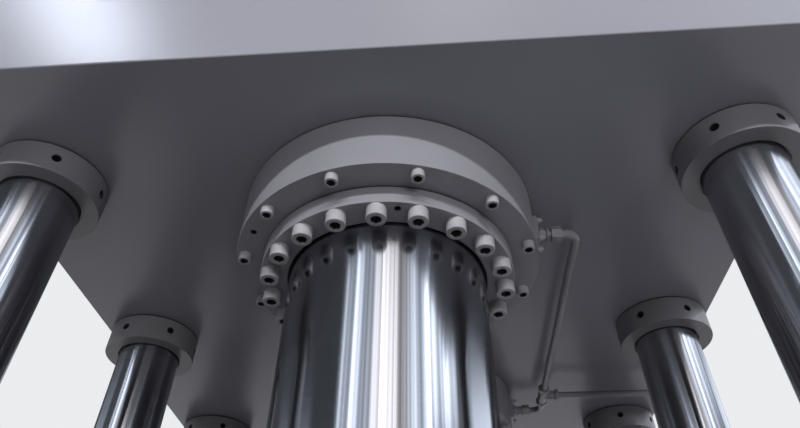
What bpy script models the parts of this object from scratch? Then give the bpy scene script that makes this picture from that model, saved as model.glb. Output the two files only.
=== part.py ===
"""A six-column hydraulic press with two downstroke cylinders.

Lengths are in metres. Z points up, X to the right, and the front of the press faces -Y.
The origin is on the floor, below the middle of the crown. Heights are worked out from the
floor upwards: bed, bolster, working space, slide, crown, cylinders.
"""

import math

import bmesh
import bpy
from mathutils import Matrix, Vector

# Clearances
seat_gap = 0.0003  # between two faces that rest on each other
fit_gap = 0.0006  # around a column, a ram or a barrel in its hole
overrun = 0.010  # how far a cutter reaches past the face that it opens
merge_distance = 0.00002  # points closer than this become one

# Facets
column_sides = 16
cylinder_sides = 28
cap_sides = 20
foot_nut_sides = 12
tommy_hole_sides = 6
lug_eye_sides = 8
screw_head_sides = 8
hex_sides = 6
half_ring_steps = 12
bend_steps = 4
pipe_bevel_resolution = 2

# Columns: three pairs of ground and chromed bars
column_radius = 0.092
column_spacing_x = 1.660
column_pitch_y = 0.736
column_shoulder_width = 0.034
column_shoulder_height = 0.066
column_end_stand = 0.032  # bare column past its outer nut, at either end

# Round nuts on the columns
nut_bore_clearance = 0.0018
nut_wall = 0.0432
inner_nut_height = 0.082
top_nut_height = 0.110
foot_nut_height = 0.100
tommy_hole_radius = 0.009
tommy_hole_depth = 0.028
tommy_hole_count = 6

# Crown: the upper beam
crown_underside = 2.700
crown_height = 0.620
crown_side_margin = 0.003  # plate left outside the nuts
crown_end_margin = 0.1922  # plate left in front of and behind the nuts
crown_edge_bevel = 0.006
crown_pocket_depth = 0.120
crown_flange_band = 0.110  # solid plate above and below the side pockets
crown_rib_width = 0.060
lug_thickness = 0.040
lug_width = 0.170
lug_height = 0.150
lug_eye_radius = 0.034
lug_offset_x = 0.500
lug_edge_distance = 0.160

# Cylinders: barrel and flange in one forging
cylinder_offset_y = 0.515
ram_radius = 0.240
annulus_width = 0.020
barrel_wall = 0.065
flange_width = 0.050
flange_height = 0.158
barrel_ring_nut_height = 0.090
barrel_ring_nut_wall = 0.078

# Gland: the screwed ring that closes the barrel's lower end
gland_height = 0.049
gland_land = 0.050  # how far the gland reaches past the barrel's bore
gland_spigot_height = 0.060
packing_width = 0.005  # radial, from the ram to the gland's bore
packing_recess = 0.006  # from the gland's mouth up to the packing
gland_screw_count = 20
gland_screw_head_radius = 0.0225
gland_screw_head_height = 0.030
gland_screw_socket_across = 0.022
gland_screw_socket_depth = 0.015
gland_screw_edge = 0.001  # ring left outside the screw heads

# Rams
piston_height = 0.120
piston_clearance = 0.0006
ram_foot_height = 0.050
ram_neck_height = 0.060
ram_neck_inset = 0.025
clamp_land = 0.080
clamp_lip_height = 0.054
clamp_split = 0.002

# Barrel head: the lid with its inlet housing
head_height = 0.080
head_spigot_height = 0.020
inlet_radius = 0.165
inlet_height = 0.130
barrel_top_clearance = 0.040  # above the pistons at the top of the stroke

# Slide: the moving platen
slide_height = 0.450
slide_wall = 0.045  # metal outside the guide bushes, left and right
slide_end_wall = 0.180  # metal in front of and behind the guide bushes
slide_edge_bevel = 0.008
slide_pocket_depth = 0.045
slide_pocket_band = 0.090
bush_wall = 0.018
bush_flange_width = 0.020
bush_flange_height = 0.024

# Stroke, from where the slide stands here
stroke_down = 0.600
stroke_up = 0.440
die_space = 0.650  # from the bolster to the slide as it stands here

# Bed
bed_deck = 0.690
bed_lip = 0.080
bed_lip_height = 0.050
bed_edge_bevel = 0.006
bolster_height = 0.060
bolster_side_gap = 0.012  # between the bolster and the column shoulders
bolster_end_inset = 0.060
bolster_edge_bevel = 0.004
foot_window_sill = 0.150
foot_window_height = 0.270
foot_window_room = 0.030  # space around the nut in its window
bed_panel_depth = 0.040
bed_panel_band = 0.110
bed_panel_count = 2

# Oil lines on the rod side, below the crown
port_drop = 0.055  # port centre, below the crown
port_hole_radius = 0.009
port_pad_depth = 0.003
port_plate_thickness = 0.014
port_plate_width = 0.068
port_plate_height = 0.078
port_plate_bevel = 0.003
port_stem_length = 0.022
port_stem_across = 0.032
pipe_radius = 0.011
pipe_bend_radius = 0.030
pipe_run_offset = 0.113  # from the flange's side to the pipe run
union_across = 0.036
union_length = 0.040
tee_y = 0.394
tee_body_radius = 0.017
tee_arm = 0.030
side_riser_gap = 0.029  # between the crown's side and the riser

# Valve block and the pressure lines on top
valve_block_size_x = 0.260
valve_block_size_y = 0.290
valve_block_size_z = 0.170
valve_block_bevel = 0.008
valve_block_edge_x = 0.110  # from the crown's side to the block
valve_block_mid_y = 0.4375
riser_port_height = 0.080
head_pipe_radius = 0.030
head_pipe_bend_radius = 0.110
head_pipe_collar_radius = 0.052
head_pipe_collar_length = 0.028
head_port_pitch = 0.155

# Worked-out sizes
column_x = column_spacing_x / 2
nut_bore = column_radius + nut_bore_clearance
nut_radius = nut_bore + nut_wall
column_hole = column_radius + fit_gap
bed_body_half_x = column_x + nut_radius + crown_side_margin
crown_half_x = bed_body_half_x
crown_half_y = column_pitch_y + nut_radius + crown_end_margin
crown_top = crown_underside + crown_height
column_top = crown_top + seat_gap + top_nut_height + column_end_stand
foot_window_top = foot_window_sill + foot_window_height
foot_nut_top = foot_window_top - seat_gap
column_bottom = foot_nut_top - foot_nut_height - column_end_stand
shoulder_radius = column_radius + column_shoulder_width

barrel_bore = ram_radius + annulus_width
barrel_radius = barrel_bore + barrel_wall
flange_radius = barrel_radius + flange_width
flange_top = crown_underside - seat_gap
flange_bottom = crown_underside - flange_height
gland_top = flange_bottom - seat_gap
gland_bottom = gland_top - gland_height
gland_radius = barrel_bore + gland_land
gland_screw_circle = gland_radius - gland_screw_head_radius - gland_screw_edge
screws_bottom = gland_bottom - gland_screw_head_height

bolster_top = bed_deck + seat_gap + bolster_height
slide_bottom = bolster_top + die_space
slide_top = slide_bottom + slide_height
foot_top = slide_top + seat_gap + ram_foot_height
neck_top = foot_top + ram_neck_height
bush_radius = column_radius + fit_gap + bush_wall
slide_half_x = column_x + bush_radius + slide_wall
slide_half_y = column_pitch_y + bush_radius + slide_end_wall
piston_bottom = gland_top + gland_spigot_height + port_hole_radius * 2 + stroke_down + port_drop
piston_top = piston_bottom + piston_height
barrel_top = piston_top + stroke_up + barrel_top_clearance
head_bottom = barrel_top + seat_gap
head_top = head_bottom + head_height
inlet_port_height = head_top + inlet_height / 2

port_height = crown_underside - port_drop
port_face_x = flange_radius - port_pad_depth
pipe_run_x = flange_radius + pipe_run_offset
riser_x = crown_half_x + side_riser_gap + pipe_radius
valve_block_high_x = crown_half_x - valve_block_edge_x
valve_block_low_x = valve_block_high_x - valve_block_size_x
valve_block_bottom = crown_top + seat_gap
valve_block_top = valve_block_bottom + valve_block_size_z

up = Vector((0.0, 0.0, 1.0))
right = Vector((1.0, 0.0, 0.0))
back = Vector((0.0, 1.0, 0.0))

# The turn of each inner nut about its column, in degrees: nuts stop where they lock
inner_nut_turns = {
    "front_left": 4.0,
    "front_right": -4.5,
    "middle_left": 14.0,
    "middle_right": -12.0,
    "rear_left": -1.6,
    "rear_right": 21.0,
}


def clear_scene():
    for old in list(bpy.data.objects):
        bpy.data.objects.remove(old, do_unlink=True)


def new_collection(name, helper=False):
    group = bpy.data.collections.new(name)
    bpy.context.scene.collection.children.link(group)
    group.hide_render = helper
    return group


def make_material(name, color, roughness, metallic):
    made = bpy.data.materials.new(name)
    made.use_nodes = True
    shader = made.node_tree.nodes["Principled BSDF"]
    shader.inputs["Base Color"].default_value = (*color, 1.0)
    shader.inputs["Roughness"].default_value = roughness
    shader.inputs["Metallic"].default_value = metallic
    made.diffuse_color = (*color, 1.0)
    return made


def new_object(name, mesh, group, material=None):
    made = bpy.data.objects.new(name, mesh)
    group.objects.link(made)
    if material and not mesh.materials:
        mesh.materials.append(material)
    return made


def mesh_from(name, bm):
    bmesh.ops.recalc_face_normals(bm, faces=bm.faces)
    mesh = bpy.data.meshes.new(name)
    bm.to_mesh(mesh)
    bm.free()
    return mesh


def box_mesh(name, low, high, bevel=0.0):
    """A box between two corners, with its edges bevelled."""
    low, high = Vector(low), Vector(high)
    bm = bmesh.new()
    bmesh.ops.create_cube(bm, size=1.0)
    bmesh.ops.scale(bm, vec=high - low, verts=bm.verts)
    bmesh.ops.translate(bm, vec=(low + high) / 2, verts=bm.verts)
    if bevel:
        bmesh.ops.bevel(bm, geom=bm.edges, offset=bevel, segments=1, affect="EDGES")
    return mesh_from(name, bm)


def add_rod(bm, radius, start, along, length, sides):
    """Adds a round or hexagonal bar, its first corner where a turned piece has its own."""
    turn = up.rotation_difference(along).to_matrix().to_4x4()
    turn = turn @ Matrix.Rotation(-math.pi / 2, 4, "Z")
    place = Matrix.Translation(Vector(start) + along * length / 2) @ turn
    bmesh.ops.create_cone(
        bm, cap_ends=True, segments=sides, radius1=radius, radius2=radius,
        depth=length, matrix=place,
    )


def rods_mesh(name, rods):
    """One mesh of bars, each given as radius, start, direction, length and sides."""
    bm = bmesh.new()
    for rod in rods:
        add_rod(bm, *rod)
    return mesh_from(name, bm)


def turned(name, profile, sides, group, material, closed=True):
    """Turns a profile of (radius, height) points about Z, its outer side running down."""
    mesh = bpy.data.meshes.new(name)
    count = len(profile)
    edges = [(i, (i + 1) % count) for i in range(count if closed else count - 1)]
    mesh.from_pydata([(radius, 0.0, height) for radius, height in profile], edges, [])
    made = new_object(name, mesh, group, material)
    screw = made.modifiers.new("Turn", "SCREW")
    screw.axis = "Z"
    screw.angle = math.tau
    screw.steps = sides
    screw.render_steps = sides
    screw.use_merge_vertices = True
    screw.merge_threshold = merge_distance
    return made


def combine(target, mesh, operation, label):
    """Cuts a mesh from the target, or joins it on."""
    tool = new_object(target.name + "_" + label, mesh, cutters)
    tool.hide_render = True
    tool.display_type = "WIRE"
    boolean = target.modifiers.new(label, "BOOLEAN")
    boolean.operation = operation
    boolean.solver = "EXACT"
    boolean.object = tool


def settle(made, smooth_angle=math.radians(35)):
    """Keeps the evaluated mesh, shaded smooth between faces that meet at a small angle."""
    graph = bpy.context.evaluated_depsgraph_get()
    mesh = bpy.data.meshes.new_from_object(made.evaluated_get(graph))
    mesh.name = made.name
    made.modifiers.clear()
    made.data = mesh
    mesh.shade_smooth()
    mesh.set_sharp_from_angle(angle=smooth_angle)
    return made


def place_copy(source, name, location, group, turn=0.0):
    """Another object with the same mesh."""
    made = bpy.data.objects.new(name, source.data)
    group.objects.link(made)
    made.location = location
    made.rotation_euler = (0.0, 0.0, turn)


def column_places():
    """The six column positions by name."""
    rows = {"front": -column_pitch_y, "middle": 0.0, "rear": column_pitch_y}
    sides = {"left": -column_x, "right": column_x}
    return {f"{row}_{side}": (x, y) for row, y in rows.items() for side, x in sides.items()}


def repeat_on_columns(model, prefix, height, group, turns=None):
    """Puts a copy of the model on every column, and then takes the model itself away."""
    for name, (x, y) in column_places().items():
        turn = math.radians(turns[name]) if turns else 0.0
        place_copy(model, f"{prefix}_{name}", (x, y, height), group, turn)
    bpy.data.objects.remove(model, do_unlink=True)


def repeat_on_cylinders(model, prefix, group, halves=None):
    """Puts a copy of the model, or of each of its halves, on both cylinder axes."""
    for row, y in (("front", -cylinder_offset_y), ("rear", cylinder_offset_y)):
        for ending, turn in (halves or {"": 0.0}).items():
            place_copy(model, f"{prefix}_{row}{ending}", (0.0, y, 0.0), group, turn)
    bpy.data.objects.remove(model, do_unlink=True)


def columns():
    length = column_top - column_bottom
    shoulder_bottom = bed_deck + seat_gap - column_bottom
    profile = [
        (0.0, length),
        (column_radius, length),
        (column_radius, shoulder_bottom + column_shoulder_height),
        (shoulder_radius, shoulder_bottom + column_shoulder_height),
        (shoulder_radius, shoulder_bottom),
        (column_radius, shoulder_bottom),
        (column_radius, 0.0),
        (0.0, 0.0),
    ]
    model = turned("column_model", profile, column_sides, frame_parts, chrome, closed=False)
    repeat_on_columns(settle(model), "column", column_bottom, frame_parts)


def inner_nuts():
    """The round nuts below the crown, with their tommy holes at half height."""
    profile = [
        (nut_radius, inner_nut_height),
        (nut_radius, 0.0),
        (nut_bore, 0.0),
        (nut_bore, inner_nut_height),
    ]
    model = turned("inner_nut_model", profile, column_sides, frame_parts, frame_paint)
    holes = []
    for step in range(tommy_hole_count):
        angle = math.tau * step / tommy_hole_count
        outward = Vector((math.cos(angle), math.sin(angle), 0.0))
        start = outward * (nut_radius - tommy_hole_depth) + up * inner_nut_height / 2
        holes.append(
            (tommy_hole_radius, start, outward, tommy_hole_depth + overrun, tommy_hole_sides)
        )
    combine(model, rods_mesh("tommy_holes", holes), "DIFFERENCE", "tommy_holes")
    height = crown_underside - seat_gap - inner_nut_height
    repeat_on_columns(settle(model), "inner_nut", height, frame_parts, inner_nut_turns)


def outer_nuts():
    """The nuts above the crown, and those in the bed's windows."""
    top = [
        (nut_radius, top_nut_height),
        (nut_radius, 0.0),
        (nut_bore, 0.0),
        (nut_bore, top_nut_height),
    ]
    model = turned("top_nut_model", top, column_sides, frame_parts, frame_paint)
    repeat_on_columns(settle(model), "top_nut", crown_top + seat_gap, frame_parts)
    foot_bore = column_hole / math.cos(math.pi / foot_nut_sides)
    foot = [
        (nut_radius, foot_nut_height),
        (nut_radius, 0.0),
        (foot_bore, 0.0),
        (foot_bore, foot_nut_height),
    ]
    model = turned("foot_nut_model", foot, foot_nut_sides, frame_parts, frame_paint)
    repeat_on_columns(settle(model), "foot_nut", foot_nut_top - foot_nut_height, frame_parts)


def column_bores(low, high, radius):
    return [
        (radius, (x, y, low), up, high - low, column_sides)
        for x, y in column_places().values()
    ]


def side_pockets(half_x, depth, low, high, rib_radius):
    """Boxes sunk into both side faces, between the columns."""
    boxes = []
    for side in (-1, 1):
        for row in (-1, 1):
            near, far = rib_radius, column_pitch_y - rib_radius
            ys = sorted((row * near, row * far))
            xs = sorted((side * (half_x - depth), side * (half_x + overrun)))
            boxes.append(((xs[0], ys[0], low), (xs[1], ys[1], high)))
    return boxes


def cut_boxes(target, boxes, label):
    for number, (low, high) in enumerate(boxes, 1):
        combine(target, box_mesh(f"{label}_{number}", low, high), "DIFFERENCE", f"{label}_{number}")


def lifting_lugs(target):
    """Four eye plates welded to the crown's top."""
    eyes = []
    lug_y = crown_half_y - lug_edge_distance
    for side, x in (("left", -lug_offset_x), ("right", lug_offset_x)):
        for end, y in (("front", -lug_y), ("rear", lug_y)):
            middle = Vector((x, y, crown_top))
            low = middle - Vector((lug_thickness / 2, lug_width / 2, overrun))
            high = middle + Vector((lug_thickness / 2, lug_width / 2, lug_height))
            label = f"lug_{end}_{side}"
            combine(target, box_mesh(label, low, high), "UNION", label)
            start = middle + Vector((-lug_thickness / 2 - overrun, 0.0, lug_height / 2))
            eyes.append((lug_eye_radius, start, right, lug_thickness + 2 * overrun, lug_eye_sides))
    combine(target, rods_mesh("lug_eyes", eyes), "DIFFERENCE", "lug_eyes")


def crown():
    low = (-crown_half_x, -crown_half_y, crown_underside)
    high = (crown_half_x, crown_half_y, crown_top)
    made = new_object("crown", box_mesh("crown", low, high, crown_edge_bevel), frame_parts, frame_paint)
    start, end = crown_underside - overrun, crown_top + overrun
    bores = column_bores(start, end, column_hole)
    for row in (-1, 1):
        place = (0.0, row * cylinder_offset_y, start)
        bores.append((barrel_radius + fit_gap, place, up, end - start, cylinder_sides))
    combine(made, rods_mesh("crown_bores", bores), "DIFFERENCE", "bores")
    pocket_low = crown_underside + crown_flange_band
    pocket_high = crown_top - crown_flange_band
    rib = column_hole + crown_rib_width
    pockets = side_pockets(crown_half_x, crown_pocket_depth, pocket_low, pocket_high, rib)
    cut_boxes(made, pockets, "pocket")
    lifting_lugs(made)
    settle(made)


def cylinders():
    profile = [
        (barrel_radius, barrel_top),
        (barrel_radius, flange_top),
        (flange_radius, flange_top),
        (flange_radius, flange_bottom),
        (barrel_bore, flange_bottom),
        (barrel_bore, barrel_top),
    ]
    model = turned("cylinder_model", profile, cylinder_sides, frame_parts, frame_paint)
    half_pad = port_plate_width / 2 + fit_gap
    pad_low = port_height - port_plate_height / 2 - fit_gap
    pad_high = flange_top + overrun
    pad = box_mesh(
        "port_pad", (port_face_x, -half_pad, pad_low), (flange_radius + overrun, half_pad, pad_high)
    )
    combine(model, pad, "DIFFERENCE", "port_pad")
    start = (barrel_bore - overrun, 0.0, port_height)
    hole = (port_hole_radius, start, right, flange_width + barrel_wall + 2 * overrun, hex_sides)
    combine(model, rods_mesh("port_hole", [hole]), "DIFFERENCE", "port_hole")
    repeat_on_cylinders(settle(model), "cylinder", frame_parts)


def glands():
    """The gland ring with its circle of socket-head screws."""
    spigot = barrel_bore - fit_gap
    bore = ram_radius + packing_width
    profile = [
        (spigot, gland_top + gland_spigot_height),
        (spigot, gland_top),
        (gland_radius, gland_top),
        (gland_radius, gland_bottom),
        (bore, gland_bottom),
        (bore, gland_top + gland_spigot_height),
    ]
    model = turned("gland_model", profile, cylinder_sides, frame_parts, frame_paint)
    socket_radius = gland_screw_socket_across / math.sqrt(3)
    heads, sockets = [], []
    for step in range(gland_screw_count):
        angle = math.tau * step / gland_screw_count
        x = gland_screw_circle * math.cos(angle)
        y = gland_screw_circle * math.sin(angle)
        seat = (x, y, gland_bottom + overrun)
        heads.append(
            (gland_screw_head_radius, seat, -up, gland_screw_head_height + overrun, screw_head_sides)
        )
        mouth = (x, y, screws_bottom + gland_screw_socket_depth)
        sockets.append((socket_radius, mouth, -up, gland_screw_socket_depth + overrun, hex_sides))
    combine(model, rods_mesh("gland_screws", heads), "UNION", "screws")
    combine(model, rods_mesh("gland_sockets", sockets), "DIFFERENCE", "sockets")
    repeat_on_cylinders(settle(model), "gland", frame_parts)


def packings():
    """The sealing rings between the glands and the rams, a little up from the glands' mouths."""
    outer = ram_radius + packing_width - seat_gap
    inner = ram_radius + fit_gap
    high = gland_top + gland_spigot_height
    low = gland_bottom + packing_recess
    profile = [(outer, high), (outer, low), (inner, low), (inner, high)]
    model = turned("packing_model", profile, cylinder_sides, frame_parts, seal_rubber)
    repeat_on_cylinders(settle(model), "ram_packing", frame_parts)


def ring_nuts():
    """The large nuts that hold the barrels in the crown from above."""
    bore = barrel_radius + fit_gap
    outer = bore + barrel_ring_nut_wall
    low = crown_top + seat_gap
    high = low + barrel_ring_nut_height
    profile = [
        (outer, high),
        (outer, low),
        (bore, low),
        (bore, high),
    ]
    model = turned("ring_nut_model", profile, cylinder_sides, frame_parts, frame_paint)
    repeat_on_cylinders(settle(model), "ring_nut", frame_parts)


def heads():
    """The barrel lids, each with the housing of its oil inlet."""
    spigot = barrel_bore * math.cos(math.pi / cylinder_sides) - fit_gap
    profile = [
        (0.0, head_top + inlet_height),
        (inlet_radius, head_top + inlet_height),
        (inlet_radius, head_top),
        (barrel_radius, head_top),
        (barrel_radius, head_bottom),
        (spigot, head_bottom),
        (spigot, head_bottom - head_spigot_height),
        (0.0, head_bottom - head_spigot_height),
    ]
    model = turned("barrel_head_model", profile, cap_sides, frame_parts, frame_paint, closed=False)
    repeat_on_cylinders(settle(model), "barrel_head", frame_parts)


def rams():
    piston = barrel_bore - piston_clearance
    neck = ram_radius - ram_neck_inset
    bottom = slide_top + seat_gap
    profile = [
        (0.0, piston_top),
        (piston, piston_top),
        (piston, piston_bottom),
        (ram_radius, piston_bottom),
        (ram_radius, neck_top),
        (neck, neck_top),
        (neck, foot_top),
        (ram_radius, foot_top),
        (ram_radius, bottom),
        (0.0, bottom),
    ]
    model = turned("ram_model", profile, cylinder_sides, slide_parts, chrome, closed=False)
    repeat_on_cylinders(settle(model), "ram", slide_parts)


def half_ring(name, profile, group, material):
    """Half a turned ring, its closed section turned through nearly half a circle."""
    bm = bmesh.new()
    split_angle = math.asin(clamp_split / 2 / profile[0][0])
    corners = []
    for step in range(half_ring_steps + 1):
        angle = split_angle + (math.pi - 2 * split_angle) * step / half_ring_steps
        corners.append(
            [bm.verts.new((r * math.cos(angle), r * math.sin(angle), z)) for r, z in profile]
        )
    count = len(profile)
    for first, second in zip(corners, corners[1:]):
        for i in range(count):
            j = (i + 1) % count
            bm.faces.new((first[i], first[j], second[j], second[i]))
    bm.faces.new(corners[0])
    bm.faces.new(corners[-1])
    made = new_object(name, mesh_from(name, bm), group, material)
    return settle(made)


def ram_clamps():
    """Split rings that hold each ram's foot to the slide."""
    facing = math.cos(math.pi / cylinder_sides) * math.cos(math.pi / 2 / half_ring_steps)
    foot_bore = (ram_radius + fit_gap) / facing
    lip_bore = (ram_radius - ram_neck_inset + fit_gap) / facing
    outer = ram_radius + clamp_land
    bottom = slide_top + seat_gap
    lip_bottom = foot_top + seat_gap
    top = lip_bottom + clamp_lip_height
    profile = [
        (outer, top),
        (outer, bottom),
        (foot_bore, bottom),
        (foot_bore, lip_bottom),
        (lip_bore, lip_bottom),
        (lip_bore, top),
    ]
    model = half_ring("ram_clamp_model", profile, slide_parts, frame_paint)
    repeat_on_cylinders(model, "ram_clamp", slide_parts, {"_a": math.pi, "_b": 0.0})


def slide():
    low = (-slide_half_x, -slide_half_y, slide_bottom)
    high = (slide_half_x, slide_half_y, slide_top)
    made = new_object("slide", box_mesh("slide", low, high, slide_edge_bevel), slide_parts, frame_paint)
    bores = column_bores(slide_bottom - overrun, slide_top + overrun, bush_radius + seat_gap)
    combine(made, rods_mesh("slide_bores", bores), "DIFFERENCE", "bores")
    pockets = side_pockets(
        slide_half_x, slide_pocket_depth, slide_bottom + slide_pocket_band,
        slide_top - slide_pocket_band, bush_radius + slide_wall,
    )
    cut_boxes(made, pockets, "pocket")
    settle(made)


def guide_bushes():
    bore = column_radius + fit_gap
    flange = bush_radius + bush_flange_width
    seat = slide_height + seat_gap
    profile = [
        (flange, seat + bush_flange_height),
        (flange, seat),
        (bush_radius, seat),
        (bush_radius, 0.0),
        (bore, 0.0),
        (bore, seat + bush_flange_height),
    ]
    model = turned("guide_bush_model", profile, column_sides, slide_parts, bronze)
    repeat_on_columns(settle(model), "guide_bush", slide_bottom, slide_parts)


def bed():
    low = (-bed_body_half_x, -crown_half_y, 0.0)
    high = (bed_body_half_x, crown_half_y, bed_deck)
    made = new_object("bed", box_mesh("bed", low, high, bed_edge_bevel), frame_parts, frame_paint)
    lip_low = (-bed_body_half_x - bed_lip, -crown_half_y - bed_lip, 0.0)
    lip_high = (bed_body_half_x + bed_lip, crown_half_y + bed_lip, bed_lip_height)
    combine(made, box_mesh("bed_lip", lip_low, lip_high), "UNION", "lip")
    bores = column_bores(foot_window_sill, bed_deck + overrun, column_hole)
    combine(made, rods_mesh("bed_bores", bores), "DIFFERENCE", "bores")
    reach = nut_radius + foot_window_room
    windows = []
    for x, y in column_places().values():
        xs = sorted((x - math.copysign(reach, x), math.copysign(bed_body_half_x + overrun, x)))
        windows.append(((xs[0], y - reach, foot_window_sill), (xs[1], y + reach, foot_window_top)))
    cut_boxes(made, windows, "window")
    cut_boxes(made, end_panels(), "panel")
    settle(made)


def end_panels():
    """Shallow recesses between the ribs of the bed's front and rear plates."""
    boxes = []
    width = 2 * (bed_body_half_x - bed_panel_band) / bed_panel_count
    for end in (-1, 1):
        for number in range(bed_panel_count):
            left = -bed_body_half_x + bed_panel_band + number * width + bed_panel_band / 2
            ys = sorted((end * (crown_half_y - bed_panel_depth), end * (crown_half_y + overrun)))
            low = (left, ys[0], bed_lip_height + bed_panel_band)
            high = (left + width - bed_panel_band, ys[1], bed_deck - bed_panel_band)
            boxes.append((low, high))
    return boxes


def bolster():
    half_x = column_x - shoulder_radius - bolster_side_gap
    half_y = crown_half_y - bolster_end_inset
    low = (-half_x, -half_y, bed_deck + seat_gap)
    high = (half_x, half_y, bolster_top)
    mesh = box_mesh("bolster", low, high, bolster_edge_bevel)
    new_object("bolster", mesh, frame_parts, ground_steel)


def rounded_route(corners, bend):
    """The points of a line with its corners rounded into arcs."""
    points = [Vector(corners[0])]
    for before, corner, after in zip(corners, corners[1:], corners[2:]):
        corner = Vector(corner)
        toward = (Vector(before) - corner).normalized()
        away = (Vector(after) - corner).normalized()
        centre = corner + (toward + away) * bend
        for step in range(bend_steps + 1):
            turn = math.pi / 2 * step / bend_steps
            points.append(centre - away * bend * math.cos(turn) - toward * bend * math.sin(turn))
    points.append(Vector(corners[-1]))
    return points


def pipe(name, corners, radius, bend, fittings, material):
    """A bent tube with the unions or collars at its ends joined on."""
    curve = bpy.data.curves.new(name, "CURVE")
    curve.dimensions = "3D"
    curve.bevel_depth = radius
    curve.bevel_resolution = pipe_bevel_resolution
    curve.use_fill_caps = True
    spline = curve.splines.new("POLY")
    points = rounded_route(corners, bend)
    spline.points.add(len(points) - 1)
    for target, point in zip(spline.points, points):
        target.co = (*point, 1.0)
    source = bpy.data.objects.new(name + "_curve", curve)
    cutters.objects.link(source)
    graph = bpy.context.evaluated_depsgraph_get()
    mesh = bpy.data.meshes.new_from_object(source.evaluated_get(graph))
    bpy.data.objects.remove(source, do_unlink=True)
    bm = bmesh.new()
    bm.from_mesh(mesh)
    bmesh.ops.remove_doubles(bm, verts=bm.verts, dist=merge_distance)
    tube = new_object(name, mesh_from(name, bm), frame_parts, material)
    for number, fitting in enumerate(fittings, 1):
        label = f"fitting_{number}"
        combine(tube, rods_mesh(f"{name}_{label}", [fitting]), "UNION", label)
    return settle(tube)


def port_blocks():
    """The flanged ports: a plate on each cylinder's pad, with a hexagon that takes the union."""
    low = (port_face_x + seat_gap, -port_plate_width / 2, port_height - port_plate_height / 2)
    high = (low[0] + port_plate_thickness, port_plate_width / 2, port_height + port_plate_height / 2)
    mesh = box_mesh("port_block", low, high, port_plate_bevel)
    model = new_object("port_block_model", mesh, frame_parts, frame_paint)
    stem_radius = port_stem_across / math.sqrt(3)
    stem_start = (low[0] + port_plate_thickness / 2, 0.0, port_height)
    stem_length = port_plate_thickness / 2 + port_stem_length
    stem = rods_mesh("port_stem", [(stem_radius, stem_start, right, stem_length, hex_sides)])
    combine(model, stem, "UNION", "stem")
    repeat_on_cylinders(settle(model), "port_block", frame_parts)


def rod_side_pipes():
    """The lines below the crown: one from each port block to the tee, one on to the valve block."""
    start_x = port_face_x + port_plate_thickness + port_stem_length + 2 * seat_gap
    union_radius = union_across / math.sqrt(3)
    for name, y, end in (("front", -cylinder_offset_y, -1), ("rear", cylinder_offset_y, 1)):
        tee_side = tee_y + end * (tee_arm + seat_gap)
        corners = [
            (start_x, y, port_height),
            (pipe_run_x, y, port_height),
            (pipe_run_x, tee_side, port_height),
        ]
        fittings = [
            (union_radius, corners[0], right, union_length, hex_sides),
            (union_radius, corners[2], back * end, union_length / 2, hex_sides),
        ]
        pipe(f"rod_side_pipe_{name}", corners, pipe_radius, pipe_bend_radius, fittings, pipe_paint)
    tee = new_object(
        "pipe_tee",
        rods_mesh("pipe_tee", [
            (tee_body_radius, (pipe_run_x, tee_y - tee_arm, port_height), back, 2 * tee_arm, screw_head_sides)
        ]),
        frame_parts, pipe_paint,
    )
    side_arm = (tee_body_radius, (pipe_run_x, tee_y, port_height), right, tee_arm, screw_head_sides)
    combine(tee, rods_mesh("tee_side_arm", [side_arm]), "UNION", "side_arm")
    settle(tee)
    riser_top = valve_block_bottom + riser_port_height
    corners = [
        (pipe_run_x + tee_arm + seat_gap, tee_y, port_height),
        (riser_x, tee_y, port_height),
        (riser_x, tee_y, riser_top),
        (valve_block_high_x + seat_gap, tee_y, riser_top),
    ]
    fittings = [
        (union_radius, corners[0], right, union_length / 2, hex_sides),
        (union_radius, corners[3], right, union_length, hex_sides),
    ]
    pipe("supply_pipe", corners, pipe_radius, pipe_bend_radius, fittings, pipe_paint)


def valve_block():
    low = (valve_block_low_x, valve_block_mid_y - valve_block_size_y / 2, valve_block_bottom)
    high = (valve_block_high_x, valve_block_mid_y + valve_block_size_y / 2, valve_block_top)
    mesh = box_mesh("valve_block", low, high, valve_block_bevel)
    new_object("valve_block", mesh, frame_parts, block_steel)


def head_pipes():
    """The pressure lines from the valve block up to the two inlet housings."""
    x = (valve_block_low_x + valve_block_high_x) / 2
    start = valve_block_top + seat_gap
    end_x = inlet_radius + seat_gap
    rear_y = valve_block_mid_y + head_port_pitch / 2
    front_y = valve_block_mid_y - head_port_pitch / 2
    routes = {
        "rear": [(x, rear_y, start), (x, rear_y, inlet_port_height), (end_x, rear_y, inlet_port_height)],
        "front": [
            (x, front_y, start),
            (x, front_y, inlet_port_height),
            (x, -cylinder_offset_y, inlet_port_height),
            (end_x, -cylinder_offset_y, inlet_port_height),
        ],
    }
    for name, corners in routes.items():
        fittings = [
            (head_pipe_collar_radius, corners[0], up, head_pipe_collar_length, screw_head_sides),
            (head_pipe_collar_radius, corners[-1], right, head_pipe_collar_length, screw_head_sides),
        ]
        pipe(f"head_pipe_{name}", corners, head_pipe_radius, head_pipe_bend_radius, fittings, pipe_paint)


clear_scene()
frame_parts = new_collection("hydraulic_press")
slide_parts = bpy.data.collections.new("hydraulic_press_slide")
frame_parts.children.link(slide_parts)
cutters = new_collection("cutters", helper=True)

frame_paint = make_material("frame_paint", (0.30, 0.30, 0.31), 0.42, 0.0)
chrome = make_material("hard_chrome", (0.72, 0.73, 0.75), 0.12, 1.0)
ground_steel = make_material("ground_steel", (0.52, 0.53, 0.54), 0.32, 1.0)
bronze = make_material("bearing_bronze", (0.55, 0.36, 0.16), 0.35, 1.0)
seal_rubber = make_material("seal_rubber", (0.03, 0.03, 0.035), 0.60, 0.0)
pipe_paint = make_material("pipe_paint", (0.22, 0.22, 0.23), 0.45, 0.0)
block_steel = make_material("block_steel", (0.40, 0.41, 0.42), 0.38, 0.9)

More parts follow.
